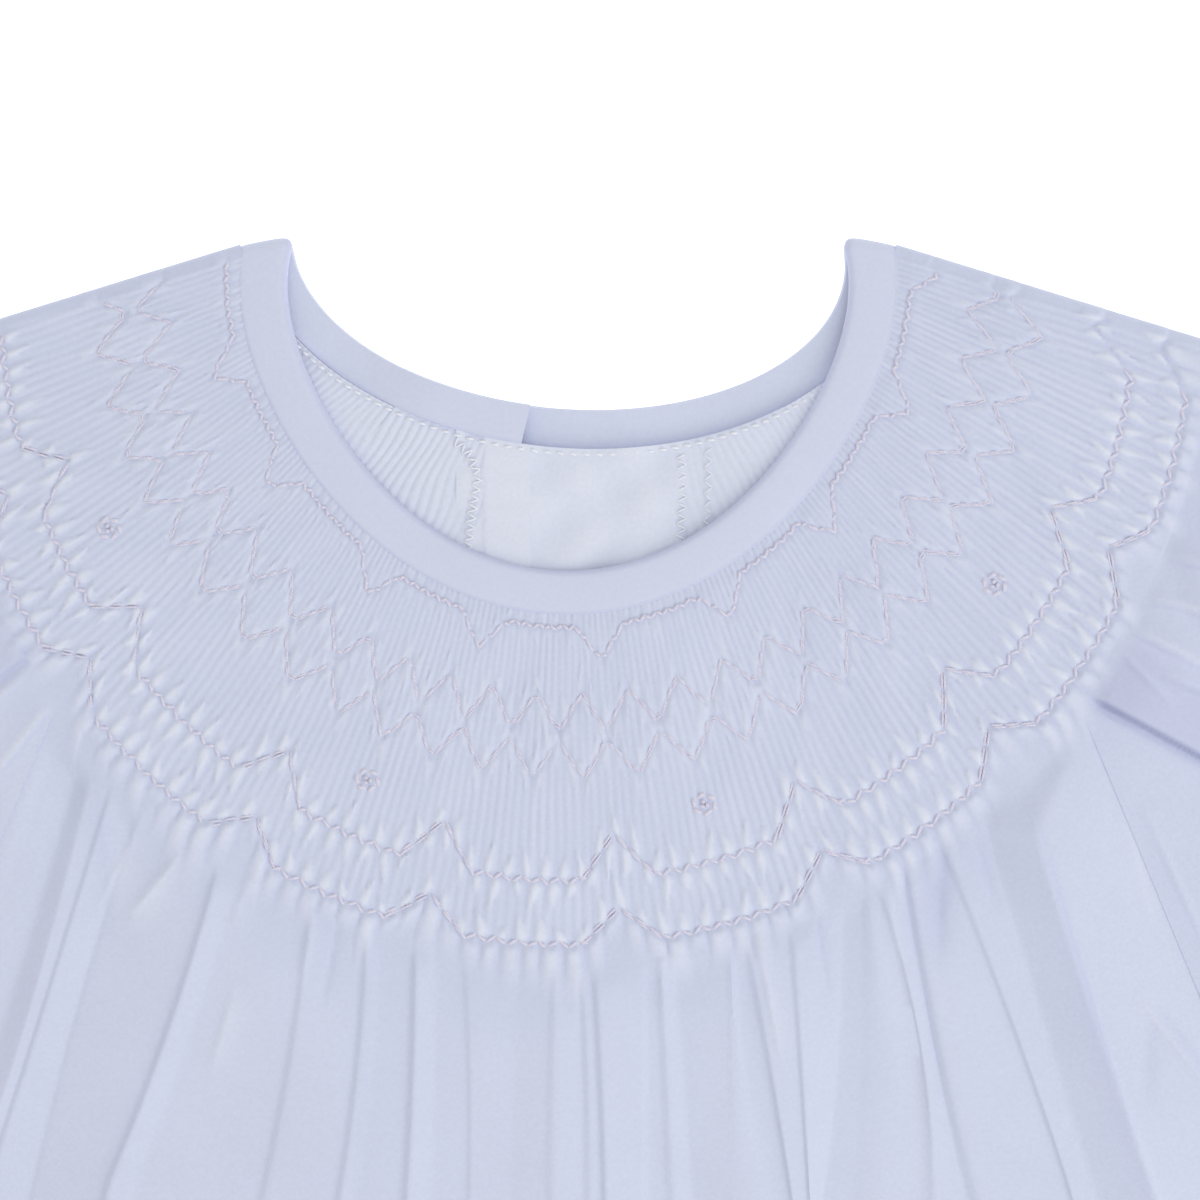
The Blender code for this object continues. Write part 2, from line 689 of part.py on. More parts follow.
def make_neckband(material):
    sections = [band_back(1, turn) for turn in reversed(band_turns(1))]
    sections += reversed(band_shoulder(1))
    for share in np.linspace(1.0, -1.0, BAND_SECTIONS):
        free = at_neck(share * FREE_SWEEP, ring_radius(share * FREE_SWEEP, "free_edge"))
        seam = at_neck(share * BAND_SWEEP, ring_radius(share * BAND_SWEEP, "seam_edge"))
        wall = blend(FRONT_BAND_WALL, BAND_WALL, abs(share) ** BAND_CORNER_POWER)
        sections.append(band_section(free, seam, yoke_base(share), np.array([0.0, 0.0, 1.0]), wall))
    sections += band_shoulder(-1)
    sections += [band_back(-1, turn) for turn in band_turns(-1)]
    points = [point for section in sections for point in section]
    size = len(BAND_PROFILE)
    faces = []
    for number in range(len(sections) - 1):
        for corner in range(size):
            following = (corner + 1) % size
            first = number * size
            second = first + size
            faces.append((first + corner, first + following, second + following, second + corner))
    last = (len(sections) - 1) * size
    faces.append(tuple(range(size)))
    faces.append(tuple(last + corner for corner in range(size)))
    return mesh_object("neckband", points, faces, material)


def make_cuff(side, material):
    """The gathered sleeve end and its ruffle: a flattened ring with waves above, flat below."""
    low = np.array(CUFF_LOW)
    top = np.array(CUFF_TOP)
    along = cuff_way()
    outward = np.array([along[1], -along[0]])
    outer = []
    inner = []
    steps = CUFF_WAVES * FOLD_STEPS
    for share in CUFF_ROWS:
        flare = CUFF_FLARE * share**2
        start = low - along * flare + outward * (SEAM_GAP + CUFF_LENGTH * share)
        end = top + along * flare + outward * (SEAM_GAP + CUFF_LENGTH * share)
        rise = CUFF_RISE * (CUFF_START + (1.0 - CUFF_START) * share)
        for rows, wall, floor in ((outer, CUFF_WALL, 0.0), (inner, 0.0, CUFF_WALL)):
            reach = FOLD_REACH - (0.0 if wall else CUFF_WALL)
            row = [raised(plan, floor) for plan in np.linspace(start, end, CUFF_LOWER_COLUMNS)]
            row += turned_edge(end, along, floor, FOLD_BASE + wall, reach, CUFF_TURN_STEPS)
            for step in range(steps + 1):
                wave = abs(math.sin(math.pi * CUFF_WAVES * step / steps)) ** FOLD_ROUNDNESS
                height = FOLD_BASE + rise * wave + wall
                row.append(raised(blend(end, start, step / steps), height))
            row += reversed(turned_edge(start, -along, floor, FOLD_BASE + wall, reach, CUFF_TURN_STEPS))
            rows.append((share, np.linspace(0.0, 1.0, len(row)), row))
    for rows in (outer, inner):
        for _, _, row in rows:
            for point in row:
                point[0] *= side
    return shell("cuff_right" if side > 0 else "cuff_left", outer, inner, material, closed=True)


def disc(name, radius, bottom, top, segments, place):
    """A closed cylinder, as a mesh of its own."""
    mesh = bpy.data.meshes.new(name)
    scene_object = bpy.data.objects.new(name, mesh)
    bpy.context.scene.collection.objects.link(scene_object)
    shape = bmesh.new()
    bmesh.ops.create_cone(
        shape,
        cap_ends=True,
        segments=segments,
        radius1=radius * MM,
        radius2=radius * MM,
        depth=(top - bottom) * MM,
    )
    bmesh.ops.translate(shape, verts=shape.verts, vec=(0.0, 0.0, (bottom + top) / 2 * MM))
    shape.to_mesh(mesh)
    shape.free()
    scene_object.location = (place[0] * MM, place[1] * MM, 0.0)
    return scene_object


def cut(target, cutter):
    cutter.hide_render = True
    cutter.display_type = "WIRE"
    modifier = target.modifiers.new(cutter.name, "BOOLEAN")
    modifier.operation = "DIFFERENCE"
    modifier.object = cutter


def make_buttons(back, material):
    """Two-hole buttons under the lap, each in a shallow recess of the cloth."""
    for number, height in enumerate(BUTTON_HEIGHTS, start=1):
        place = (CENTRE_SEAM, height)
        button = disc(f"button_{number}", BUTTON_RADIUS, 0.0, BUTTON_THICKNESS, BUTTON_SIDES, place)
        button.data.materials.append(material)
        top = BUTTON_THICKNESS + SEAM_GAP
        name = f"recess_{number}"
        cut(back, disc(name, BUTTON_RADIUS + SEAM_GAP, -CUTTER_REACH, top, BUTTON_SIDES, place))
        for side, way in (("left", -1), ("right", 1)):
            spot = (place[0] + way * BUTTON_HOLE_SPREAD, place[1])
            name = f"hole_{number}_{side}"
            top = BUTTON_THICKNESS + CUTTER_REACH
            cut(button, disc(name, BUTTON_HOLE_RADIUS, -CUTTER_REACH, top, HOLE_SIDES, spot))


def main():
    for scene_object in list(bpy.data.objects):
        bpy.data.objects.remove(scene_object, do_unlink=True)
    cloth = cloth_material("batiste", CLOTH, 0.85)
    shell_white = cloth_material("button", SHELL_WHITE, 0.35)
    make_front(cloth)
    for side in (-1, 1):
        make_sleeve(side, cloth)
        make_cuff(side, cloth)
    make_back(-1, cloth)
    right = make_back(1, cloth)
    make_neckband(cloth)
    make_buttons(right, shell_white)


main()
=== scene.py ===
# Bishop dress for an infant, white cotton batiste, laid flat on its back on a pale surface.
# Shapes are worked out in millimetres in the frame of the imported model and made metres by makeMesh.

import math

import bmesh
import bpy
import numpy as np
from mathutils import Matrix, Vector


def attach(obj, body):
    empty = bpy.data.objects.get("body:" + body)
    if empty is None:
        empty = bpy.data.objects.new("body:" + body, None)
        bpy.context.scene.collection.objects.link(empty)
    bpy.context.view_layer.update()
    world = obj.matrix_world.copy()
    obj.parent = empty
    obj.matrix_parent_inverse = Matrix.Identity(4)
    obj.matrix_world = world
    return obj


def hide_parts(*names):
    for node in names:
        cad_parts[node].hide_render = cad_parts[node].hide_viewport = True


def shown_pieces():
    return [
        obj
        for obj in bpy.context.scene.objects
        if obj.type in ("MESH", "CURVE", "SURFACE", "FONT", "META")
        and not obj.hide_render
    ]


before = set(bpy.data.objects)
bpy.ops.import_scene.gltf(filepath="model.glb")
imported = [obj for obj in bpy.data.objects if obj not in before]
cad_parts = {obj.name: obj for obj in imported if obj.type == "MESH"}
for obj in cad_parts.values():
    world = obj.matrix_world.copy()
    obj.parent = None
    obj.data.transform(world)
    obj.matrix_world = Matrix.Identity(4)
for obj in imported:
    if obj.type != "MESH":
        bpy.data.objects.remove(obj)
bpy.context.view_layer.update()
mm = 0.001
dice = np.random.default_rng(24)

neck = {
    "centreY": 115.8,
    "bandSweep": 96.0,  # degrees from straight down to the band's end at the fold
    "yokeSweep": 84.5,
    "freeSweep": 99.0,
    "backSweep": 84.0,  # from the middle of the back to the fold
    "seamGap": 0.3,
    "bandWidth": 7.0,
    "backDepth": 27.0,
    "backShift": 4.5,
    "backRaglanTurn": 38.0,
}
# angle, free edge of the band, its seam, outer edge of the yoke: all but the angle are radii
neckRings = np.array([
    (0.0, 46.7, 53.7, 112.3),
    (22.0, 46.0, 53.2, 111.6),
    (45.0, 44.9, 52.2, 109.8),
    (70.0, 45.4, 53.0, 108.2),
    (98.0, 46.9, 55.0, 107.0),
])
ringSpan = neckRings[-1, 0]
ringFits = {
    edge: np.polyfit((neckRings[:, 0] / ringSpan) ** 2, neckRings[:, column], 3)
    for column, edge in enumerate(("free", "seam", "yoke"), start=1)
}

levels = {
    "foldBase": 2.2,
    "yokeBase": 4.8,
    "seamBase": 1.6,
    "crown": 2.6,
    "yokeWall": 1.35,
    "foldReach": 2.2,
}

smocking = {
    "raglan": 0.604,  # share of the half yoke at which the front ends and the sleeve begins
    "frontPleats": 113,
    "bandRadius": 54.0,
    "tuckRadius": 53.4,
    "edgeRadius": 112.3,
    "pleatRise": 0.16,
    "pleatRiseAtEdge": 0.24,
    "crestRound": 0.8,
    "pinch": 0.18,
    "dropRise": 0.5,
    "lobeRise": 0.75,
    "lobeReach": 8.5,
    "diamondRise": 0.25,
    "peakWidth": 0.19,
    "zigzags": 3,  # in each scallop
    "roseRadius": 88.9,
    "swayShare": 0.2,  # how far pleats wander, as a share of a pleat
    "pinchWidth": 0.9,
    "diamondEdge": 3.5,
    "pleatFade": 2.2,  # distance below the last line at which the pleats have gone
}
# tones of the cloth, most of them painted light and shade: 1 is the level cloth, less is darker,
# and the last rows are shares of a fall. Painted light: the crests, drops and lobe tops, and the
# inside of the back, its facing and lap strip. Painted shade: the valleys, pinches, lobe edges, the
# right puff, the lip line and the cloth above it. foldRidge gives fold crests painted highlight and
# fold valleys painted shade; sway is the cloth's own uneven tone; the turned-under layer, the
# ruffle and the inner faces are a little darker.
paintedLightAndTone = {
    "crest": 1.06,
    "drop": 1.48,
    "lobe": 0.86,
    "lobeRise": 0.42,
    "wrongSide": 1.22,
    "facing": 1.3,
    "lapStrip": 1.38,
    "turnedUnder": 0.85,
    "ruffle": 0.9,
    "inside": 0.8,
    "leftValley": 0.26,
    "rightValley": 0.42,
    "pinch": 0.09,
    "sway": 0.05,
    "rightPuff": 0.13,
    "foldRidge": 0.3,
    "lipLine": 0.75,
    "aboveLip": 0.22,
}
wavePeaks = np.array([-0.818, -0.615, -0.359, -0.151, 0.055, 0.285, 0.514, 0.755, 0.990])

# radius, bend at the wave peaks, zigzag reach of each stitched line
stitchLines = {
    "neckCable": (56.2, 5.6, 0.0),
    "innerTrellis": (70.3, 0.0, 3.4),
    "outerTrellis": (78.2, 0.0, -3.4),
    "upperScallops": (98.4, -7.6, 0.0),
    "lowerScallops": (109.0, -5.8, 0.0),
}

# drops beside each line: length, half width in pleats, and strength
dropSizes = {
    "neckCable": (3.0, 0.45, 0.35),
    "innerTrellis": (4.6, 0.42, 0.6),
    "outerTrellis": (4.6, 0.42, 0.6),
    "upperScallops": (5.0, 0.52, 1.0),
    "lowerScallops": (4.4, 0.55, 1.0),
}

skirt = {
    "hemX": 228.0,
    "hemSideY": -292.0,
    "hemMiddleY": -306.0,
    "underarmY": -3.0,
    "creaseRise": 1.35,
    "frameBottom": -35.0,
    "lapEndAt": 0.21,
    "lapFade": 0.16,
    "hemDepth": 48.0,
    "hemStep": 0.25,
    "length": 309.5,  # from the smocking to the hem at the middle
    "restHeight": 1.4,  # height in the table at which the cloth lies level
    "sideHeight": 1.3,
    "softRise": 2.4,  # rise of the rounded folds that the creases become toward the hem
}
# Creases of the skirt, from left to right: place across the front at the yoke, half way down the
# picture and at its foot, height of the cloth just left and just right of the crease, and how far
# below the yoke it starts. A step up is a dark line, and a panel that falls to the right is bright.
skirtCreases = np.array([
    (-0.924, -0.893, -0.881, 0.2, 0.2, 5),
    (-0.895, -0.856, -0.848, 1.5, 1.5, 4),
    (-0.849, -0.834, -0.827, 1.1, 1.5, 2),
    (-0.782, -0.780, -0.760, 0.3, 0.5, 4),
    (-0.618, -0.630, -0.658, 1.6, 2.4, 1),
    (-0.572, -0.592, -0.615, 1.6, 1.6, 1),
    (-0.447, -0.436, -0.440, 1.3, 1.8, 0),
    (-0.343, -0.328, -0.329, 1.4, 2.0, 0),
    (-0.316, -0.303, -0.304, 1.5, 1.5, 0),
    (-0.263, -0.246, -0.238, 1.5, 2.3, 0),
    (-0.221, -0.205, -0.195, 1.3, 1.3, 0),
    (-0.177, -0.155, -0.145, 1.2, 1.5, 0),
    (-0.087, -0.084, -0.083, 1.1, 1.1, 0),
    (-0.028, -0.032, -0.032, 1.5, 1.9, 0),
    (0.018, 0.025, 0.024, 1.2, 1.7, 0),
    (0.040, 0.047, 0.050, 1.4, 2.1, 0),
    (0.122, 0.116, 0.105, 1.3, 0.9, 0),
    (0.149, 0.144, 0.141, 0.9, 1.4, 0),
    (0.177, 0.177, 0.177, 0.7, 0.7, 0),
    (0.269, 0.250, 0.234, 1.6, 2.1, 0),
    (0.280, 0.272, 0.292, 1.2, 1.2, 0),
    (0.296, 0.310, 0.318, 1.4, 2.0, 0),
    (0.378, 0.360, 0.344, 1.7, 2.2, 0),
    (0.475, 0.421, 0.355, 1.0, 1.0, 0),
    (0.513, 0.463, 0.408, 1.5, 2.0, 0),
    (0.535, 0.549, 0.512, 1.5, 2.0, 0),
    (0.595, 0.575, 0.573, 1.2, 2.1, 0),
    (0.663, 0.695, 0.710, 1.5, 2.0, 0),
    (0.750, 0.745, 0.742, 1.45, 1.45, 0),
    (0.833, 0.824, 0.825, 3.9, 3.9, 2),
    (0.849, 0.836, 0.837, 3.0, 3.0, 3),
])
# Short folds that start below the smocking and die out: where they start and end, in mm, their
# height, and how wide the left and the right flank are
shortFolds = np.array([
    (-63.8, 23.0, -74.0, 10.6, 0.9, 0.7, 2.6),
    (-55.2, 0.5, -59.6, -14.5, 0.55, 0.5, 2.0),
    (-41.6, 14.0, -44.8, -0.5, 0.5, 1.0, 0.7),
    (63.0, 24.0, 61.8, 4.0, -0.9, 3.4, 1.6),
    (67.8, 25.5, 71.5, 12.0, -0.55, 1.2, 1.8),
    (31.2, 9.6, 35.4, -12.6, 0.6, 0.6, 1.8),
    (15.2, 18.0, 15.6, -9.0, 0.45, 0.6, 1.2),
    (92.0, 34.0, 97.5, 10.0, 0.45, 0.5, 1.6),
    (95.0, -2.6, 107.0, -17.6, 0.75, 0.5, 0.9),
    (97.2, -5.0, 96.4, -20.0, -0.6, 1.4, 1.2),
    (-97.0, 6.0, -107.0, -20.0, 0.6, 1.2, 0.8),
    (-69.6, 31.0, -80.0, 10.0, 0.55, 0.7, 2.2),
    (-51.0, 23.5, -56.4, 9.0, 0.5, 0.8, 1.6),
    (-37.6, 13.5, -41.0, -4.0, -0.5, 0.8, 0.8),
    (41.0, 15.0, 43.4, -2.0, -0.5, 0.8, 0.9),
    (52.6, 19.5, 55.0, 4.0, 0.5, 0.9, 1.6),
    (1.6, 9.0, 1.0, -8.0, 0.4, 0.5, 1.2),
])

# sides of folds that stay in shade: laid out as the short folds, but the fourth number is a tone
shadedSides = np.array([
    (75.5, 37.0, 106.0, -66.0, -0.30, 6.5, 0.3),
    (-79.0, 36.0, -76.0, 8.0, -0.22, 2.5, 1.0),
    (62.0, 24.0, 62.5, 0.0, -0.13, 3.0, 1.2),
    (49.0, 16.0, 56.0, -28.0, -0.12, 3.5, 0.6),
    (-33.0, 8.0, -36.0, -40.0, -0.12, 0.6, 3.0),
    (98.5, -3.0, 112.0, -22.0, -0.25, 2.2, 0.5),
])

sleeve = {
    "cuffLow": (110.0, -4.0),
    "cuffTop": (153.0, 84.5),
    "bulge": 5.0,
    "folds": 8,
    "pleats": 37,
    "length": 62.0,
    "puff": 1.2,
    "underarmAt": 0.88,
}

cuff = {
    "waves": 9,
    "length": 13.0,
    "flare": 5.0,
    "rise": 1.8,
    "wall": 1.2,
    "innerWall": 0.5,
    "innerFloor": 0.7,
    "gathersPerWave": 4,
    "drawnAt": 0.22,  # share of the length at which the thread draws it in
}

back = {
    "leftEdge": -6.3,
    "rightEdge": -18.7,
    "centreSeam": -12.5,
    "placketEnd": -15.0,
    "facingEdge": 19.5,
    "rampStart": -19.4,
    "rampEnd": -37.0,
    "lapLift": 2.9,
    "lapWall": 1.4,
    "yokeWall": 3.9,
    "skirtWall": 1.3,
    "innerWall": 0.9,
    "pleatTurn": 1.45,  # degrees of the neckline for each pleat
    "columns": 161,
    "rows": ((0.0, 0.085, 80), (0.085, 0.28, 22), (0.28, 1.0, 26)),  # share of the way to the hem
    "sideAt": (0.0, 0.085, 0.262, 1.0),  # those shares at the band, in the yoke, underarm and hem
    "sideShare": (0.0, 0.33, 1.0, 2.0),
    "smockingEnd": 55.0,
    "shoulderTurn": 44.0,  # degrees from the raglan seam to the shoulder
}
innerYoke = {
    "end": 86.0,
    "depth": 30.0,
    "levelAtSeam": 3.95,
    "levelAtShoulder": 1.15,
}


def ease(value):  # a smooth step from 0 to 1
    value = np.clip(value, 0.0, 1.0)
    return value * value * (3.0 - 2.0 * value)


def mix(start, end, share):
    return start + (end - start) * share


def bell(value, width):  # 1 in the middle, falling off over width
    return np.exp(-((value / width) ** 2))


def ringRadius(angle, edge):
    return np.polyval(ringFits[edge], (np.asarray(angle) / ringSpan) ** 2)


def atNeck(angle, radius):
    turn = np.radians(angle)
    return np.stack([radius * np.sin(turn), neck["centreY"] - radius * np.cos(turn)], -1)


def shareOut(radius):  # 0 at the band and 1 at the edge of the yoke
    return (radius - smocking["bandRadius"]) / (smocking["edgeRadius"] - smocking["bandRadius"])


def yokePlan(sigma, radius):  # a straight pleat from the band to the yoke's edge, and the place on it
    sigma, radius = np.broadcast_arrays(sigma, radius)
    bandAngle = neck["bandSweep"] * sigma
    edgeAngle = neck["yokeSweep"] * sigma
    start = atNeck(bandAngle, ringRadius(bandAngle, "seam") + neck["seamGap"])
    end = atNeck(edgeAngle, ringRadius(edgeAngle, "yoke"))
    return mix(start, end, shareOut(radius)[..., None])


def yokeBase(sigma):  # the underside of the upper layer, highest at the middle
    drop = 1.0 - np.abs(sigma) ** levels["crown"]
    return levels["foldBase"] + (levels["yokeBase"] - levels["foldBase"]) * drop


def pleatPhase(sigma):  # pleats counted across, whole numbers in the valleys
    half = smocking["frontPleats"] / 2
    return sigma / smocking["raglan"] * half + half


def sigmaAt(phase):  # the place across the yoke of a counted pleat: pleatPhase turned round
    half = smocking["frontPleats"] / 2
    return (phase - half) / half * smocking["raglan"]


def pleatRise(radius):
    return mix(smocking["pleatRise"], smocking["pleatRiseAtEdge"], np.clip(shareOut(radius), 0.0, 1.0))


def wavePhase(sigma):  # repeats of the smocked waves, whole numbers on the peaks
    step = (wavePeaks[-1] - wavePeaks[0]) / (len(wavePeaks) - 1)
    ends = np.concatenate([[wavePeaks[0] - step], wavePeaks, [wavePeaks[-1] + step]])
    return np.interp(sigma, ends, np.arange(-1, len(wavePeaks) + 1))


def lineRadius(name, sigma):  # radius + bend * tent at each peak + zigzag * triangle wave
    radius, bend, reach = stitchLines[name]
    phase = wavePhase(sigma)
    tent = np.clip(1.0 - np.abs(phase - np.round(phase)) / smocking["peakWidth"], 0.0, 1.0)
    turn = (phase * smocking["zigzags"]) % 1.0
    return radius + bend * tent + reach * (4.0 * np.abs(turn - 0.5) - 1.0)


tableMiddle = 60  # place in the random tables of the front's first pleat
swayTable = dice.uniform(-1.0, 1.0, (6, 4))
pleatLift = dice.uniform(0.75, 1.1, 240)
dropLength = dice.uniform(0.55, 1.3, (8, 160))
dropWidth = dice.uniform(0.7, 1.15, (8, 160))
dropLean = dice.uniform(-0.9, 0.9, (8, 160))
lobeRow = 7  # row of those tables for the lobes; the rows before it are for the drops


def sway(phase, radius):  # a slow sum of sines, so that no two pleats run quite straight
    total = 0.0
    for number, (pace, climb, start, share) in enumerate(swayTable):
        turn = phase * (0.5 + 0.4 * pace) + radius * (0.22 + 0.12 * climb) + 6 * start + number
        total = total + share * np.sin(turn)
    return total / 2.0


def nearPair(phase, start):  # distance from the middle of the nearest pair of pleats, and its number
    pair = np.round((phase - start) / 2.0).astype(int)
    return phase - start - 2.0 * pair, np.clip(pair + tableMiddle, 0, dropLength.shape[1] - 1)


def drops(phase, away, row, length, width, start):
    # the cloth that a row of stitches lets go, one drop over every second pleat: a dome,
    # sqrt(1 - (x / half width) ^ 2), whose half width grows fast from the stitch and then tapers
    beside, pick = nearPair(phase, start)
    along = np.clip((away - 0.3) / (length * dropLength[row][pick]), 0.0, 1.0)
    beside = beside - dropLean[row][pick] * along * along
    half = width * dropWidth[row][pick] * np.sin(np.pi * along**0.5) ** 0.8
    dome = np.sqrt(np.clip(1.0 - (beside / np.maximum(half, 1e-3)) ** 2, 0.0, 1.0))
    return dome * np.sin(np.pi * along**0.45) ** 0.5


def lobes(phase, past):
    # below the last row: rounded lobes two pleats wide, lower the further they reach, each with its
    # own length, width and lean
    beside, pick = nearPair(phase, 1.0)
    along = np.clip(past / (smocking["lobeReach"] * dropLength[lobeRow][pick] ** 1.6), 0.0, 1.0)
    beside = beside - 0.7 * dropLean[lobeRow][pick] * along
    half = dropWidth[lobeRow][pick] * mix(0.75, 1.25, along)
    dome = np.cos(np.pi / 2 * np.clip(beside / half, -1.0, 1.0)) ** 0.7
    return dome * (1.0 - ease(along)) * ease(past / 1.2) * dropWidth[lobeRow - 1][pick]


def smockRelief(sigma, radius):
    # rounded pleats, |sin| to a power, pinched by each stitched line, with drops on both sides of
    # it; below the last line the cloth opens in lobes two pleats wide
    sigma, radius = np.broadcast_arrays(sigma, radius)
    wander = smocking["swayShare"] * sway(pleatPhase(sigma), radius)
    phase = pleatPhase(sigma) + wander * ease((radius - 55.0) / 6.0)
    rise = pleatRise(radius)
    pinch = 0.0
    drop = 0.0
    last = radius - lineRadius("lowerScallops", sigma)
    for row, name in enumerate(stitchLines):
        away = radius - lineRadius(name, sigma)
        pinch = np.maximum(pinch, bell(away, smocking["pinchWidth"]))
        length, width, lift = dropSizes[name]
        drop = np.maximum(drop, lift * drops(phase, -away, row, length, width, 0.0))
        if name != "lowerScallops":
            drop = np.maximum(drop, lift * drops(phase, away, row + 1, length, width, 1.0))
    number = np.clip(np.floor(phase).astype(int) + tableMiddle, 0, len(pleatLift) - 1)
    crest = np.abs(np.sin(np.pi * phase)) ** smocking["crestRound"] * pleatLift[number]
    inner = lineRadius("innerTrellis", sigma)
    outer = lineRadius("outerTrellis", sigma)
    cushion = ease(np.minimum(radius - inner, outer - radius) / smocking["diamondEdge"])
    beyond = np.maximum(last, 0.0)
    lobe = lobes(phase, beyond)
    pleats = rise * crest * (1.0 - 0.5 * pinch) * bell(beyond, smocking["pleatFade"])
    relief = pleats - smocking["pinch"] * pinch + smocking["dropRise"] * drop
    relief = relief + smocking["lobeRise"] * lobe + smocking["diamondRise"] * cushion
    relief = relief + mix(0.15, 0.45, ease((radius - 54.0) / 3.0))
    # the tone, painted light and shade: painted shade in the valleys, deeper on the right, and at the
    # stitched lines, painted highlight on the crests, drops and lobes, and level cloth below
    valley = mix(paintedLightAndTone["leftValley"], paintedLightAndTone["rightValley"], ease((sigma - 0.1) / 0.4))
    tone = paintedLightAndTone["crest"] - valley * (1.0 - crest) - paintedLightAndTone["pinch"] * pinch
    tone = tone + paintedLightAndTone["sway"] * sway(phase + 40.0, radius * 1.4)
    tone = mix(tone, paintedLightAndTone["drop"], np.clip(drop, 0.0, 1.0) ** 1.3 * 0.85)
    tone = mix(tone, paintedLightAndTone["lobe"] + paintedLightAndTone["lobeRise"] * lobe, ease(beyond / 2.5))
    tone = mix(tone, 1.0, ease((beyond - 5.0) / 14.0))
    return relief, tone


def underarmPlace():  # on the straight line from the yoke's corner to the hem's corner
    start = yokePlan(smocking["raglan"], smocking["edgeRadius"])
    share = (start[1] - skirt["underarmY"]) / (start[1] - skirt["hemSideY"])
    return mix(start, np.array([skirt["hemX"], skirt["hemSideY"]]), share), share


underarm, underarmShare = underarmPlace()


def skirtPlan(across, down):
    top = yokePlan(across * smocking["raglan"], smocking["edgeRadius"])
    hemY = mix(skirt["hemMiddleY"], skirt["hemSideY"], across**2)
    hem = np.stack([skirt["hemX"] * across, hemY], -1)
    return mix(top, hem, down[..., None])


def skirtBase(across, down):
    edge = mix(levels["seamBase"], yokeBase(smocking["raglan"]), 1.0 - ease(down / underarmShare))
    pastLap = ease((down - skirt["lapEndAt"]) / skirt["lapFade"])
    middle = mix(levels["seamBase"], levels["yokeBase"], 1.0 - pastLap)
    return edge + (middle - edge) * (1.0 - np.abs(across) ** levels["crown"])


def intoScene(name, data):
    item = bpy.data.objects.new(name, data)
    bpy.context.scene.collection.objects.link(item)
    return item


def makeMesh(name, points, faces, tone, uv, crease=60.0):
    # the mesh with its tone of painted light and shade and its cloth map, faces outward, and edges
    # sharper than the crease angle kept
    mesh = bpy.data.meshes.new(name)
    mesh.from_pydata((points * mm).tolist(), [], faces)
    mesh.update()
    mesh.attributes.new("tone", "FLOAT", "POINT").data.foreach_set("value", tone.astype(np.float32))
    corner = np.empty(len(mesh.loops), np.int32)
    mesh.loops.foreach_get("vertex_index", corner)
    mesh.uv_layers.new(name="clothMap").data.foreach_set("uv", uv[corner].astype(np.float32).ravel())
    shape = bmesh.new()
    shape.from_mesh(mesh)
    inside = shape.calc_volume(signed=True) < 0
    shape.free()
    if inside:
        mesh.flip_normals()
    mesh.shade_smooth()
    mesh.set_sharp_from_angle(angle=math.radians(crease))
    return intoScene(name, mesh)


def gridFaces(rows, columns, first, wrap):
    number = first + np.arange(rows * columns).reshape(rows, columns)
    if wrap:
        number = np.hstack([number, number[:, :1]])
    corners = [number[:-1, :-1], number[1:, :-1], number[1:, 1:], number[:-1, 1:]]
    return np.stack(corners, -1).reshape(-1, 4).tolist()


def closedCloth(name, over, under, rowPick, columnPick, tone, uv, wrap=False):
    # a wall between two grids: the lower one has a point under each picked row and column of the
    # upper one, and ladders of faces close the ends and, where it isn't a ring, the sides
    rows, columns = over.shape[:2]
    lowRows, lowColumns = under.shape[:2]
    first = rows * columns
    faces = gridFaces(rows, columns, 0, wrap)
    faces += [face[::-1] for face in gridFaces(lowRows, lowColumns, first, wrap)]
    for row, lowRow, turned in ((0, 0, False), (rows - 1, lowRows - 1, True)):
        for step in range(len(columnPick) - 1):
            ring = [row * columns + j % columns for j in range(columnPick[step], columnPick[step + 1] + 1)]
            lowStart = first + lowRow * lowColumns
            ring += [lowStart + (step + 1) % lowColumns, lowStart + step]
            faces.append(ring[::-1] if turned else ring)
    if not wrap:
        for column, lowColumn, turned in ((0, 0, True), (columns - 1, lowColumns - 1, False)):
            for step in range(len(rowPick) - 1):
                ring = [i * columns + column for i in range(rowPick[step], rowPick[step + 1] + 1)]
                lowStart = first + lowColumn
                ring += [lowStart + (step + 1) * lowColumns, lowStart + step * lowColumns]
                faces.append(ring[::-1] if turned else ring)
    points = np.concatenate([over.reshape(-1, 3), under.reshape(-1, 3)])
    lowTone = np.full(lowRows * lowColumns, paintedLightAndTone["inside"])
    lowUv = uv[np.ix_(rowPick, columnPick[:lowColumns])]
    uv = np.concatenate([uv.reshape(-1, 2), lowUv.reshape(-1, 2)])
    piece = makeMesh(name, points, faces, np.concatenate([tone.ravel(), lowTone]), uv)
    print(name, len(faces), "faces")
    return piece


def underPoints(over, rowPick, columnPick, level):  # the lower grid: picked points at another level
    under = over[np.ix_(rowPick, columnPick)].copy()
    under[..., 2] = level
    return under


def picks(count, step):  # every so many, with the last one too
    chosen = list(range(0, count - 1, step))
    return chosen + [count - 1]


def lowestNear(height, rowReach, columnReach):  # the least height within so many rows and columns
    for axis, reach in ((0, rowReach), (1, columnReach)):
        padded = np.pad(height, [(reach, reach) if axis == k else (0, 0) for k in (0, 1)], mode="edge")
        windows = np.lib.stride_tricks.sliding_window_view(padded, 2 * reach + 1, axis)
        height = windows.min(-1)
    return height


def raised(plan, height):
    return np.concatenate([plan, np.asarray(height)[..., None]], -1)


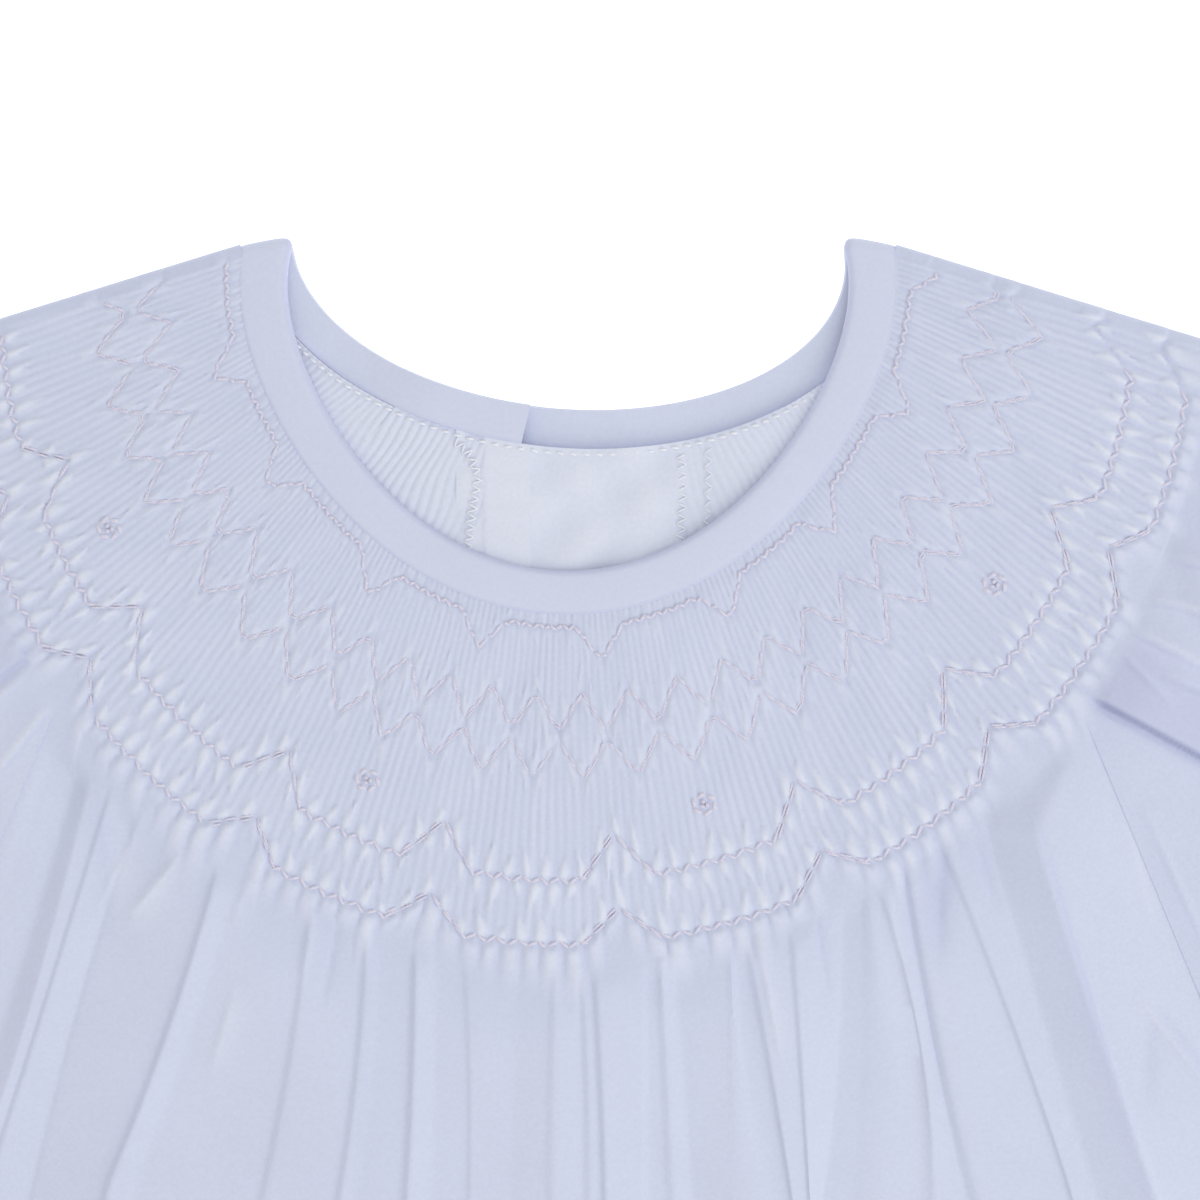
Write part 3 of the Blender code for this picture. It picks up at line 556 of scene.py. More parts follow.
def creaseHeights(columns):
    # one height for each column: straight between creases, with a step at each of them
    last = columns - 1
    place = np.round((skirtCreases[:, 0] + 1.0) / 2.0 * last)
    knots = np.stack([place, place + 1], 1).ravel()
    heights = skirtCreases[:, 3:5].ravel()
    knots = np.concatenate([[0], knots, [last]])
    heights = np.concatenate([[skirt["sideHeight"]], heights, [skirt["sideHeight"]]])
    rough = np.interp(np.arange(columns), knots, heights)
    padded = np.pad(rough, 1, mode="edge")
    fine = 0.2 * padded[:-2] + 0.6 * padded[1:-1] + 0.2 * padded[2:]
    window = np.hanning(27)[1:-1]
    wide = np.convolve(np.pad(rough, 12, mode="edge"), window / window.sum(), "valid")
    return fine, wide


def nearLine(plan, start, end):
    # signed distance from a line, positive to its left when looking along it, and the share of
    # its length beside the point
    line = np.subtract(end, start)
    length = np.hypot(*line)
    along = ((plan - start) @ line) / length**2
    away = (plan - start) @ np.array([-line[1], line[0]]) / length
    return away, along


def foldRidge(plan, fold):
    # a ridge along a short line, |sin| of the share along it times an exponential on each flank
    away, along = nearLine(plan, fold[0:2], fold[2:4])
    flank = np.where(away < 0.0, fold[5], fold[6])
    run = np.sin(np.pi * np.clip(along, 0.0, 1.0)) ** 0.7
    return fold[4] * run * np.exp(-np.abs(away) / flank)


def skirtRelief(start, down, plan):
    # panels between the creases, softer toward the hem, with short folds and a slow swell
    top = yokePlan(start * smocking["raglan"], smocking["edgeRadius"])[..., 1]
    below = down * (top - skirt["hemMiddleY"])
    fine, wide = creaseHeights(start.shape[1])
    begin = np.interp(start[0], skirtCreases[:, 0], skirtCreases[:, 5])
    hidden = ease((down - 0.27) / 0.35)
    sharp = (fine[None] - skirt["restHeight"]) * skirt["creaseRise"]
    panels = mix(sharp, (wide[None] - skirt["restHeight"]) * skirt["softRise"], hidden)
    panels = panels * ease((below - 0.7 * begin[None]) / (4.5 + 4.0 * np.maximum(fine[None] - 2.2, 0.0)))
    relief = panels + 0.12 * np.sin(plan[..., 0] * 0.21 + plan[..., 1] * 0.12) * ease(below / 20.0)
    for fold in shortFolds:
        relief = relief + foldRidge(plan, fold)
    return relief


def foldShading(plan):  # crests of the short folds brighter, their valleys and the shaded sides darker
    # painted highlight on the fold crests, painted shade in their valleys and on the shaded sides
    tone = 0.0
    for fold in shortFolds:
        tone = tone + paintedLightAndTone["foldRidge"] * foldRidge(plan, fold)
    for fold in shadedSides:
        tone = tone + foldRidge(plan, fold)
    return tone


def stepped(*runs):  # even steps through runs of start, end and count, without each first value
    return np.concatenate([np.linspace(*run)[1:] for run in runs])


def clothMap(u, v):
    return np.stack(np.broadcast_arrays(u, v), -1)


def yokeRows(sigmas, count, side=1):  # smocked rows, from under the band to the skirt or puff
    radii = np.linspace(smocking["tuckRadius"], smocking["edgeRadius"], count)
    sigma, radius = np.meshgrid(sigmas, radii)
    relief, tone = smockRelief(sigma * side, radius)
    return radii, raised(yokePlan(sigma, radius), yokeBase(sigma) + levels["yokeWall"] + relief), tone


def innerLevel(height, rowPick, columnPick, yokeCount, sigmas, wall):
    # the inner side of an upper layer: level under the yoke, a wall's thickness below the folds, and
    # at least half a millimetre below the lowest groove nearby
    here = np.ix_(rowPick, columnPick)
    inYoke = np.array(rowPick)[:, None] < yokeCount
    level = np.where(inYoke, yokeBase(sigmas[columnPick]), height[here] - wall)
    lowest = lowestNear(height, rowPick[1] - rowPick[0], 4)[here]
    return np.minimum(lowest - 0.5, level)


def makeFront():
    # yoke rows of constant radius, then skirt rows that fan out to the hem on the same columns,
    # drifting sideways with the creases
    half = smocking["raglan"]
    columns = smocking["frontPleats"] * 4 + 1
    start = np.linspace(-1.0, 1.0, columns)
    radii, yoke, toneYoke = yokeRows(start * half, 120)
    down = stepped((0.0, 0.05, 26), (0.05, 0.24, 40), (0.24, 1.0, 26))
    first, downGrid = np.meshgrid(start, down)
    topY = yokePlan(start * half, smocking["edgeRadius"])[:, 1]
    lowShare = (topY - skirt["frameBottom"]) / (topY - skirt["hemMiddleY"])
    travel = np.minimum(downGrid / lowShare, 1.0)
    spread = 1.0 - 0.85 * ease((downGrid - lowShare) / (1.0 - lowShare))
    drift = [np.interp(start, np.concatenate([[-1], skirtCreases[:, 0], [1]]),
                       np.concatenate([[0], skirtCreases[:, k] - skirtCreases[:, 0], [0]])) for k in (1, 2)]
    across = first + drift[0] * 4 * travel * (1 - travel)
    across = across + drift[1] * travel * (2 * travel - 1) * spread
    past = downGrid * (topY - skirt["hemMiddleY"])
    opening, toneOpen = smockRelief(first * half, smocking["edgeRadius"] + past)
    plan = skirtPlan(across, downGrid)
    folds = skirtRelief(first, downGrid, plan)
    hem = skirt["hemStep"] * ease((downGrid - (1.0 - skirt["hemDepth"] / skirt["length"])) / 0.004)
    calm = 1.0 - ease((np.abs(first) - 0.97) / 0.03) * ease(past / 20.0)
    height = skirtBase(across, downGrid) + levels["yokeWall"] + opening + folds * calm
    height = height + 0.3 * ease(past / 20.0) + hem
    over = np.concatenate([yoke, raised(plan, height)])
    # painted light and shade of the smocking, then of the skirt, with the folds' painted highlight and shade
    tone = np.concatenate([toneYoke, toneOpen + foldShading(plan)])

    rowPick = picks(len(over), 6)
    columnPick = picks(columns, 4)
    level = innerLevel(over[..., 2], rowPick, columnPick, len(radii), start * half, 1.1)
    under = underPoints(over, rowPick, columnPick, level)
    sideSeam = np.concatenate([np.zeros(len(radii)), down])[rowPick] > underarmShare
    for column in (0, -1):
        under[sideSeam, column, 2] = back["skirtWall"] - 0.1
    along = np.concatenate([radii, smocking["edgeRadius"] + down * skirt["length"]])
    uv = clothMap(start * skirt["hemX"], along[:, None])
    piece = closedCloth("frontCloth", over, under, rowPick, columnPick, tone, uv)
    return rideAs(piece, "front")


def rideAs(piece, *nodes):
    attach(piece, "root")
    if nodes:
        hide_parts(*nodes)
    return piece


def foldWay(start, end):  # the direction in plan that points up out of a fold along this line
    line = np.asarray(end) - start
    way = np.array([-line[1], line[0]]) / np.hypot(*line)
    return way if way[1] > 0 else -way


def halfTurn(edge, way, low, high, reach, steps):
    # points round a fold from the upper level to the lower: reach * sin out, half the height * cos up
    angle = np.pi * np.arange(1, steps) / steps
    plan = edge[:, None] + way[:, None] * (reach * np.sin(angle))[None, :, None]
    middle = (low + high)[:, None] / 2
    return raised(plan, middle + (high - low)[:, None] / 2 * np.cos(angle))


def backNeck(turn, offset):  # an ellipse below the back of the neck, grown by the offset
    angle = np.radians(turn)
    x = (neckTip[0] + offset) * np.sin(angle) + neck["backShift"] * np.cos(angle)
    return np.stack(np.broadcast_arrays(x, neckTip[1] - (neck["backDepth"] + offset) * np.cos(angle)), -1)


neckTip = atNeck(neck["freeSweep"], ringRadius(neck["freeSweep"], "free"))
bandFoot = neck["bandWidth"] + neck["seamGap"]


def raglanBack(share, side):  # as on the right: from the band to the underarm, then the side seam
    start = backNeck(side * neck["backRaglanTurn"], bandFoot) * (side, 1)
    hem = np.array([skirt["hemX"], skirt["hemSideY"]])
    share = np.asarray(share, float)[..., None]
    raglan = mix(start, underarm, np.minimum(share, 1.0))
    return np.where(share <= 1.0, raglan, mix(underarm, hem, share - 1.0))


# Folds of the left and the right sleeve, laid out as the skirt's short ones, and the deep crease
# where the puff hangs over: its start, its end, its bend upward and its strength
sleeveFolds = {
    -1: np.array([
        (-84.0, 56.5, -100.0, 44.0, 0.9, 1.6, 0.8),
        (-82.0, 52.0, -98.0, 32.0, 1.0, 2.2, 1.0),
        (-86.0, 62.0, -112.0, 54.0, 0.9, 1.8, 1.0),
        (-86.0, 44.0, -93.0, 22.0, 0.5, 1.4, 0.7),
        (-104.0, 40.0, -118.0, 12.0, 1.2, 3.0, 1.2),
        (-98.0, 66.0, -140.0, 50.0, 1.2, 3.0, 1.6),
    ]),
    1: np.array([
        (91.0, 61.0, 110.0, 51.0, 1.0, 1.0, 2.4),
        (92.0, 66.0, 120.0, 58.0, 0.9, 1.0, 2.4),
        (90.0, 58.0, 101.0, 46.5, 0.6, 0.8, 1.6),
        (99.0, 52.0, 118.0, 44.0, 0.8, 0.9, 2.0),
        (96.0, 30.0, 108.0, 4.0, 0.6, 2.0, 1.0),
        (98.0, 72.0, 140.0, 62.0, 1.2, 1.6, 3.0),
    ]),
}
lipLines = {
    -1: ((-80.0, 57.6), (-100.0, 44.0), 3.2, 0.5),
    1: ((86.2, 48.4), (108.0, 36.6), 0.0, 1.0),
}


def makeSleeve(side, name, node):
    # upper layer from the raglan seam to the shoulder fold, the fold, and the layer that rests
    corner = yokePlan(smocking["raglan"], smocking["edgeRadius"])
    shoulder = yokePlan(1.0, smocking["edgeRadius"])
    upColumns = sleeve["pleats"] * 4 + 1
    inSigma = np.linspace(smocking["raglan"], 1.0, upColumns)
    radii, yoke, toneYoke = yokeRows(inSigma, 130, side)
    share = stepped((0.0, 0.5, 76), (0.5, 1.0, 38))
    across = (inSigma - smocking["raglan"]) / (1.0 - smocking["raglan"])
    away, v = np.meshgrid(1.0 - across, share)  # away: 0 at the fold and 1 at the raglan seam
    top = np.array(sleeve["cuffTop"])
    low = np.array(sleeve["cuffLow"])
    puffWay = foldWay(shoulder, top)
    foldLine = mix(shoulder, top, share[:, None]) + puffWay * sleeve["bulge"] * np.sin(np.pi * share)[:, None]
    alongSeam = np.minimum(share / sleeve["underarmAt"], 1.0)[:, None]
    alongArm = np.clip((share - sleeve["underarmAt"]) / (1.0 - sleeve["underarmAt"]), 0.0, 1.0)[:, None]
    edgeLine = mix(mix(corner, underarm, alongSeam), low, alongArm)
    straight = mix(foldLine[:, None], edgeLine[:, None], away[..., None])
    fanned = mix(1.0, smocking["raglan"], away)
    arc = yokePlan(fanned, smocking["edgeRadius"]) - mix(shoulder, corner, away[..., None])
    plan = straight + arc * ((1.0 - v) ** 2)[..., None]
    past = v * sleeve["length"]
    opening, toneOpen = smockRelief(fanned * side, smocking["edgeRadius"] + past)
    edgeBase = mix(levels["seamBase"], yokeBase(smocking["raglan"]), 1.0 - ease(v / sleeve["underarmAt"]))
    base = mix(levels["foldBase"], edgeBase, ease(away))
    base = base + sleeve["puff"] * np.sin(np.pi * away) * np.sin(np.pi * v)
    wave = sleeve["folds"] * away + 0.35 * np.sin(3.0 * v + 5.0 * away) + (0.3 if side > 0 else 0.0)
    lift = np.abs(np.sin(np.pi * wave)) ** 1.2 * (0.7 + 0.3 * np.sin(4.1 * wave + 2.0))
    inFrom = ease(away * 6.0) * ease((1.0 - away) * 8.0 + 0.2) * (1.0 - ease((away - 0.5) / 0.3))
    folds = 1.2 * lift * ease(past / 14.0) * inFrom
    placed = plan * (side, 1)
    # painted shade: the right sleeve's puff is darker below the smocking
    if side > 0:
        toneOpen = toneOpen - paintedLightAndTone["rightPuff"] * ease(past / 8.0)
    for fold in sleeveFolds[side]:
        ridge = foldRidge(placed, fold) * ease(past / 5.0)
        beside, _ = nearLine(placed, fold[0:2], fold[2:4])
        folds = folds + ridge
        # painted highlight along each fold's crest and painted shade in the groove beside it
        crest = 0.3 * bell(beside - 0.4 * side, 0.7)
        toneOpen = toneOpen + ridge * (crest - 0.5 * bell(beside + 0.9 * side, 0.45))
    lipStart, lipEnd, lipBend, lipStrength = lipLines[side]
    lip, run = nearLine(placed, lipStart, lipEnd)
    inLip = lipStrength * ease(run * 6.0) * ease((1.12 - run) * 6.0)
    lip = lip * side - lipBend * np.sin(np.pi * np.clip(run, 0.0, 1.0))
    overhang = 1.5 * np.clip(1.0 - lip / 9.0, 0.0, 1.0) * ease((lip + 0.6) / 1.2)
    folds = folds + inLip * (overhang - 0.8 * bell(lip + 0.4, 0.8))
    # painted shade: a dark line in the crease where the puff hangs over, and darker cloth on the puff above
    # it
    toneOpen = toneOpen - paintedLightAndTone["lipLine"] * inLip * bell(lip + 0.1, 0.55)
    toneOpen = toneOpen - paintedLightAndTone["aboveLip"] * inLip * (lip > 0.0) * ease((14.0 - lip) / 5.0)
    calm = 1.0 - ease((away - 0.97) / 0.03) * ease(past / 20.0)
    height = base + levels["yokeWall"] + opening + folds * calm + 0.5 * ease(past / 20.0)
    upper = np.concatenate([yoke, raised(plan, height)])
    toneUp = np.concatenate([toneYoke, toneOpen])
    yokeFold = yokePlan(1.0, radii)
    backShare = np.concatenate([0.5 * (radii - radii[0]) / (radii[-1] - radii[0]),
                                np.minimum(1.0, 0.5 + 0.5 * share / sleeve["underarmAt"])])
    backEdge = raglanBack(backShare, side)
    backEdge = np.where(np.concatenate([np.zeros(len(radii)), alongArm[:, 0]])[:, None] > 0,
                        np.concatenate([yokeFold, edgeLine]), backEdge)
    foldPlan = np.concatenate([yokeFold, foldLine])
    rowShoulder = foldWay(yokePlan(1.0, radii[0]), yokePlan(1.0, radii[-1]))
    cuffWay = (top - low) / np.hypot(*(top - low))
    way = mix(rowShoulder, cuffWay, ease(np.concatenate([np.zeros(len(radii)), share]))[:, None])
    way = way / np.linalg.norm(way, axis=1, keepdims=True)
    rows = len(foldPlan)
    lowColumns = 15
    lowShare = np.linspace(0.0, 1.0, lowColumns)
    lowerPlan = mix(foldPlan[:, None], backEdge[:, None], lowShare[None, :, None])
    bandTurn = mix(neck["backSweep"], neck["backRaglanTurn"], (lowShare - lowShare[2]) / (1.0 - lowShare[2]))
    bandLine = backNeck(side * bandTurn, bandFoot - 0.4) * (side, 1)
    bandLine[:2] = lowerPlan[0, :2]
    follow = np.exp(-((np.arange(rows) / 9.0) ** 2))[:, None, None]
    lowerPlan = lowerPlan + (bandLine - lowerPlan[0])[None] * follow
    upEdge = upper[:, -1, 2]
    outFold = halfTurn(foldPlan, way, np.zeros(rows), upEdge, levels["foldReach"], 9)
    over = np.concatenate([upper, outFold, raised(lowerPlan, np.zeros(lowerPlan.shape[:2]))], axis=1)
    tone = np.concatenate([toneUp, np.full((rows, over.shape[1] - upColumns), paintedLightAndTone["turnedUnder"])], axis=1)

    rowPick = picks(rows, 5)
    upPick = list(range(0, upColumns, 4))
    foldPick = [upColumns + k for k in (1, 3, 5, 7)]
    lowPick = [upColumns + 8 + k for k in range(0, lowColumns, 2)]
    columnPick = upPick + foldPick + lowPick
    under = underPoints(over, rowPick, columnPick, back["innerWall"])
    level = innerLevel(upper[..., 2], rowPick, upPick, len(radii), inSigma, 1.0)
    under[:, :len(upPick), 2] = level
    inner = np.full(len(rowPick), back["innerWall"])
    innerFold = halfTurn(foldPlan[rowPick], way[rowPick], inner, level[:, -1], 1.4, 9)
    under[:, len(upPick):len(upPick) + 4] = innerFold[:, [1, 3, 5, 7]]
    for grid in (over, under):
        grid[..., 0] *= side
    along = np.concatenate([radii, smocking["edgeRadius"] + share * sleeve["length"]])
    uv = clothMap(np.arange(over.shape[1]) * 0.5, along[:, None])
    return rideAs(closedCloth(name, over, under, rowPick, columnPick, tone, uv), node)


def makeCuff(side, name, node):
    # a flattened ring below the sleeve: fine gathers at its seam that open into a ruffle
    low = np.array(sleeve["cuffLow"])
    top = np.array(sleeve["cuffTop"])
    along = (top - low) / np.hypot(*(top - low))
    outward = np.array([along[1], -along[0]])
    share = np.linspace(0.0, 1.0, 22)
    flare = cuff["flare"] * share**2
    start = low - along * flare[:, None] + outward * (0.05 + cuff["length"] * share)[:, None]
    end = top + along * flare[:, None] + outward * (0.05 + cuff["length"] * share)[:, None]
    across, v = np.meshgrid(np.linspace(0.0, 1.0, cuff["waves"] * 16 + 1), share)
    ruffle = np.abs(np.sin(np.pi * (cuff["waves"] * across + 0.12 * np.sin(9 * across + 3 * v)))) ** 0.9
    gathers = np.abs(np.sin(np.pi * cuff["waves"] * cuff["gathersPerWave"] * across)) ** 0.7
    drawn = bell((v - cuff["drawnAt"]) * cuff["length"], 1.2)
    height = 0.35 + ruffle * cuff["rise"] * ease((v - 0.15) / 0.5)
    height = height + 0.55 * gathers * (1 - ease((v - 0.2) / 0.35)) - 0.4 * drawn
    upperPlan = mix(end[:, None], start[:, None], across[..., None])
    grids = []
    for wall, floor in ((cuff["wall"], 0.0), (cuff["innerWall"], cuff["innerFloor"])):
        reach = levels["foldReach"] - floor
        lower = mix(start[:, None], end[:, None], np.linspace(0.0, 1.0, 17)[None, :, None])
        level = levels["foldBase"] + wall + np.maximum(height, 0.0)
        rows = len(share)
        way, floors = np.repeat(along[None], rows, 0), np.full(rows, floor)
        turnUp = halfTurn(end, way, level[:, 0], floors, reach, 8)
        turnDown = halfTurn(start, -way, floors, level[:, -1], reach, 8)
        ring = np.concatenate([raised(lower, np.full(lower.shape[:2], floor)), turnUp,
                               raised(upperPlan, level), turnDown], axis=1)
        ring[..., 0] *= side
        grids.append(ring)
    rows, columns = grids[0].shape[:2]
    uv = clothMap(np.arange(columns) * 0.6, share[:, None] * cuff["length"])
    rowPick = list(range(rows))
    columnPick = list(range(columns + 1))
    tone = np.full((rows, columns), paintedLightAndTone["ruffle"])
    return rideAs(closedCloth(name, *grids, rowPick, columnPick, tone, uv, wrap=True), node)


band = {
    "wall": 2.0,
    "wallAtFold": 1.75,
    "wallBehind": 1.8,
    "overlap": 0.32,  # how far its foot reaches over the pleats
    "foldReach": 0.4,
    "facePoints": 17,
}


def bandSections(free, seam, base, outward, wall):
    # a flat binding: its face is a rounded hump, (1 - |2a - 1| ^ 6) ^ 0.5, over a plain back
    turn = np.linspace(0.0, np.pi, band["facePoints"])
    a = np.concatenate([0.5 - 0.5 * np.cos(turn), 0.5 + 0.5 * np.cos(turn[2:-2:2])])
    face = (1.0 - np.abs(2 * a - 1) ** 6) ** 0.5
    foot = mix(0.3, 0.84, ease(a))
    hump = foot + (0.94 - foot) * face + 0.06 * np.sin(np.pi * a)
    height = np.where(np.arange(len(a)) < band["facePoints"], hump, 0.0)
    plan = mix(free[:, None], seam[:, None], a[None, :, None])
    level = np.broadcast_to(base[:, None], plan.shape[:2])
    return raised(plan, level) + outward[:, None] * (wall[:, None] * height)[..., None]


def backTurnOf(x, offset):
    turns = np.linspace(-60.0, 60.0, 481)
    return float(np.interp(x, backNeck(turns, offset)[:, 0], turns))


def lapRamp(x):  # 0 beside the lap of the back opening and 1 on it
    return ease((x - back["rampEnd"]) / (back["rampStart"] - back["rampEnd"]))


def makeNeckband():
    # the back's two halves, each with its turn over the shoulder, and the front between them
    up = np.array([0.0, 0.0, 1.0])
    wallBehind = band["wallBehind"]
    parts = []
    for side in (1, -1):
        edge = back["rightEdge"] if side > 0 else back["leftEdge"]
        turns = np.linspace(backTurnOf(edge, 0.0), side * neck["backSweep"], 90)
        free = backNeck(turns, 0.0)
        seam = backNeck(turns, neck["bandWidth"])
        lift = back["lapLift"] * lapRamp(free[:, 0]) * (side < 0)
        down = np.repeat(-up[None], len(turns), 0)
        behind = bandSections(free, seam, wallBehind + lift, down, np.full(len(turns), wallBehind))
        sweep = side * neck["freeSweep"]
        freeEnd = atNeck(sweep, ringRadius(sweep, "free"))
        seamEnd = atNeck(side * neck["bandSweep"], ringRadius(side * neck["bandSweep"], "seam"))
        way = foldWay(freeEnd, seamEnd)
        angle = np.pi * np.arange(1, 10) / 10
        low, high = wallBehind, levels["foldBase"]
        shift = way * (band["foldReach"] * np.sin(angle))[:, None]
        outward = np.stack([way[0] * np.sin(angle), way[1] * np.sin(angle), -np.cos(angle)], -1)
        level = (low + high) / 2 - (high - low) / 2 * np.cos(angle)
        turn = bandSections(freeEnd + shift, seamEnd + shift, level, outward, np.full(9, wallBehind))
        parts.append(np.concatenate([behind, turn]))
    share = np.linspace(1.0, -1.0, 220)
    free = atNeck(share * neck["freeSweep"], ringRadius(share * neck["freeSweep"], "free"))
    seam = atNeck(share * neck["bandSweep"], ringRadius(share * neck["bandSweep"], "seam") + band["overlap"])
    wall = mix(band["wall"], band["wallAtFold"], np.abs(share) ** 6)
    front = bandSections(free, seam, yokeBase(share), np.repeat(up[None], len(share), 0), wall)
    sections = np.concatenate([parts[0], front, parts[1][::-1]])
    rows, columns = sections.shape[:2]
    faces = gridFaces(rows, columns, 0, True)
    faces += [list(range(columns)), list(range(rows * columns - 1, (rows - 1) * columns - 1, -1))]
    length = np.concatenate([[0], np.cumsum(np.linalg.norm(np.diff(sections[:, 4], axis=0), axis=1))])
    number = np.arange(columns)
    uv = clothMap(length[:, None], number * 0.6).reshape(-1, 2)
    # painted shade: darker at both edges of the face
    rimShade = 1.0 - 0.32 * (number < 3) - 0.2 * (number == 3) - 0.2 * ((number > 13) & (number < 18))
    piece = makeMesh("neckBinding", sections.reshape(-1, 3), faces, np.tile(rimShade, rows), uv, 50.0)
    print("neckband", len(faces), "faces")
    return rideAs(piece, "neckband")


def backPlace(x, y):
    # turn and offset of a point about the back neckline, found by halving: the ellipse that
    # passes through the point has half sides tip x + offset and depth + offset
    rise = neckTip[1] - y
    wide = neckTip[0] - neck["backDepth"]
    low = np.maximum(np.abs(rise), 1.0)
    high = low + 500.0
    for _ in range(30):
        middle = (low + high) / 2
        cosine = rise / middle
        sine = (x - neck["backShift"] * cosine) / (middle + wide)
        outside = cosine**2 + sine**2 > 1.0
        low = np.where(outside, middle, low)
        high = np.where(outside, high, middle)
    cosine = np.clip(rise / high, -1.0, 1.0)
    turn = np.degrees(np.arctan2((x - neck["backShift"] * cosine) / (high + wide), cosine))
    return turn, high - neck["backDepth"]


def wrongSide(turn, away):  # the back's pleats, |sin| to a power
    phase = turn / back["pleatTurn"] + 0.25 * np.sin(away * 0.35 + turn * 0.3)
    return np.abs(np.sin(np.pi * phase)) ** 0.8


def makeBack(side, name, node):
    # rows follow the neckline, then straighten; the face that shows inside the neck has the
    # wrong side of the pleats, beside a plain facing
    right = side > 0
    edgeOpen = back["rightEdge"] if right else back["leftEdge"]
    edgeShut = back["centreSeam"] + side * 0.05
    offset = bandFoot - 0.6
    down = np.append(0.0, stepped(*back["rows"]))
    sideEdge = raglanBack(np.interp(down, back["sideAt"], back["sideShare"]), side) * (side, 1)
    topTurn = np.linspace(backTurnOf(edgeOpen, offset), side * neck["backRaglanTurn"], back["columns"])
    topLine = backNeck(topTurn, offset)
    topLine[-1] = sideEdge[0]
    edgeY = topLine[0, 1] + (skirt["hemMiddleY"] - topLine[0, 1]) * down
    edgeX = np.where(edgeY > back["placketEnd"], edgeOpen, edgeShut)
    shareX = (topLine[:, 0] - topLine[0, 0]) / (topLine[-1, 0] - topLine[0, 0])
    x = edgeX[:, None] + (sideEdge[:, 0] - edgeX)[:, None] * shareX[None]
    hang = (topLine[:, 1] - mix(topLine[0, 1], topLine[-1, 1], shareX))[None]
    hang = hang * (1.0 - ease(down / 0.5))[:, None]
    bend = mix(1.0, 1.6, ease(down / 0.3))[:, None]
    y = mix(edgeY[:, None], sideEdge[:, 1][:, None], shareX[None] ** bend) + hang
    y[0] = topLine[:, 1]
    turn, away = backPlace(x, y)
    away = away - offset
    smocked = 1.0 - ease((away - back["smockingEnd"]) / 8.0)
    pleats = 0.25 * wrongSide(turn, away) * smocked * ease(away / 1.5 + 0.2)
    yokeShare = 1.0 - ease((away - 50.0) / 30.0)
    wall = mix(back["skirtWall"], back["yokeWall"], yokeShare)
    lift = np.zeros_like(x)
    # painted light: the inside of the back is lighter than the level cloth, and lighter still on its pleat
    # crests
    tone = paintedLightAndTone["wrongSide"] + 0.6 * (pleats - 0.12)
    if right:
        plainPart = 1.0 - ease((x - back["facingEdge"] + 1.0) / 1.5)
        serged = bell(x - back["facingEdge"] - 2.6, 3.0)
        inOpening = y > back["placketEnd"]
        wrinkle = 0.14 * np.sin(0.62 * x + 0.9 * np.sin(0.3 * y)) + 0.16 * np.sin(0.55 * y - 0.35 * x)
        relief = mix(pleats * (1 - 0.6 * serged), 0.45 + wrinkle, plainPart * inOpening)
        # painted light on the plain facing, lighter and darker with its wrinkles
        tone = mix(tone, paintedLightAndTone["facing"] + 0.3 * wrinkle, plainPart)
        height = wall + relief * np.where(inOpening, 1.0, 0.3)
    else:
        strip = ease((x + 14.6) / 1.0)
        onLap = lapRamp(x)
        calm = 1.0 - ease((back["placketEnd"] + 4.0 - y) / 10.0)
        lift = back["lapLift"] * onLap * calm
        frayed = bell(x + 17.5, 3.4)
        relief = mix(pleats * (1 - 0.6 * frayed), 0.30 + 0.05 * np.sin(1.3 * y), strip)
        height = mix(wall, back["lapWall"], onLap) + lift + relief
        # painted light: the plain strip on the lap is lighter still
        tone = mix(tone, paintedLightAndTone["lapStrip"], strip)
    over = raised(np.stack([x, y], -1), height)
    rows, columns = over.shape[:2]
    rowPick = picks(rows, 5)
    columnPick = picks(columns, 6)
    under = underPoints(over, rowPick, columnPick, lift[np.ix_(rowPick, columnPick)])
    return rideAs(closedCloth(name, over, under, rowPick, columnPick, tone, clothMap(turn, away)), node)


def toShoulder(turn):  # 0 at the raglan seam of the back and 1 at the shoulder
    return ease((turn - neck["backRaglanTurn"]) / back["shoulderTurn"])


def makeInnerYoke(side, name):
    # the wrong side of the sleeve's smocking, seen through the neck between the back seam and the
    # shoulder: the pleats run on from the back
    turns = np.linspace(neck["backRaglanTurn"] - 1.5, innerYoke["end"], 133)
    away = np.linspace(-0.5, innerYoke["depth"], 60)
    turn, offset = np.meshgrid(turns, away)
    offset = -0.5 + (offset + 0.5) * mix(1.0, 0.08, ease((turn - 50.0) / 34.0))
    plan = backNeck(side * turn, bandFoot + offset)
    pleats = mix(0.25, 0.18, toShoulder(turn)) * wrongSide(side * turn, offset)
    level = mix(innerYoke["levelAtSeam"], innerYoke["levelAtShoulder"], toShoulder(turn))
    over = raised(plan, level + pleats)
    rowPick = picks(len(away), 6)
    columnPick = picks(len(turns), 6)
    under = underPoints(over, rowPick, columnPick, back["innerWall"] + 0.01)
    # painted light: lighter than the level cloth, and lighter still on the pleat crests, as on the back
    tone = paintedLightAndTone["wrongSide"] + 0.6 * (pleats - 0.12)
    return rideAs(closedCloth(name, over, under, rowPick, columnPick, tone, clothMap(turn, offset)))


thread = {
    "thickness": 0.32,
    "fine": 0.2,
    "lift": 0.05,
    "sink": 0.3,
    "neckReach": 0.42,  # how far each row's stitches swing to both sides
    "cableReach": 0.72,
    "trellisReach": 0.22,
    "peakReach": 0.3,
    "overlap": 0.6,  # half the length of a stitch, in pleats
    "trellisOverlap": 0.62,
    "firstPleat": -36,
    "lastPleat": 150,
}


def threadHeight(sigma, radius):  # where a stitch lies, on the crests of the pinched pleats
    rise = pleatRise(radius)
    crest = 0.45 + 0.5 * rise - smocking["pinch"]
    return yokeBase(sigma) + levels["yokeWall"] + crest + thread["lift"]


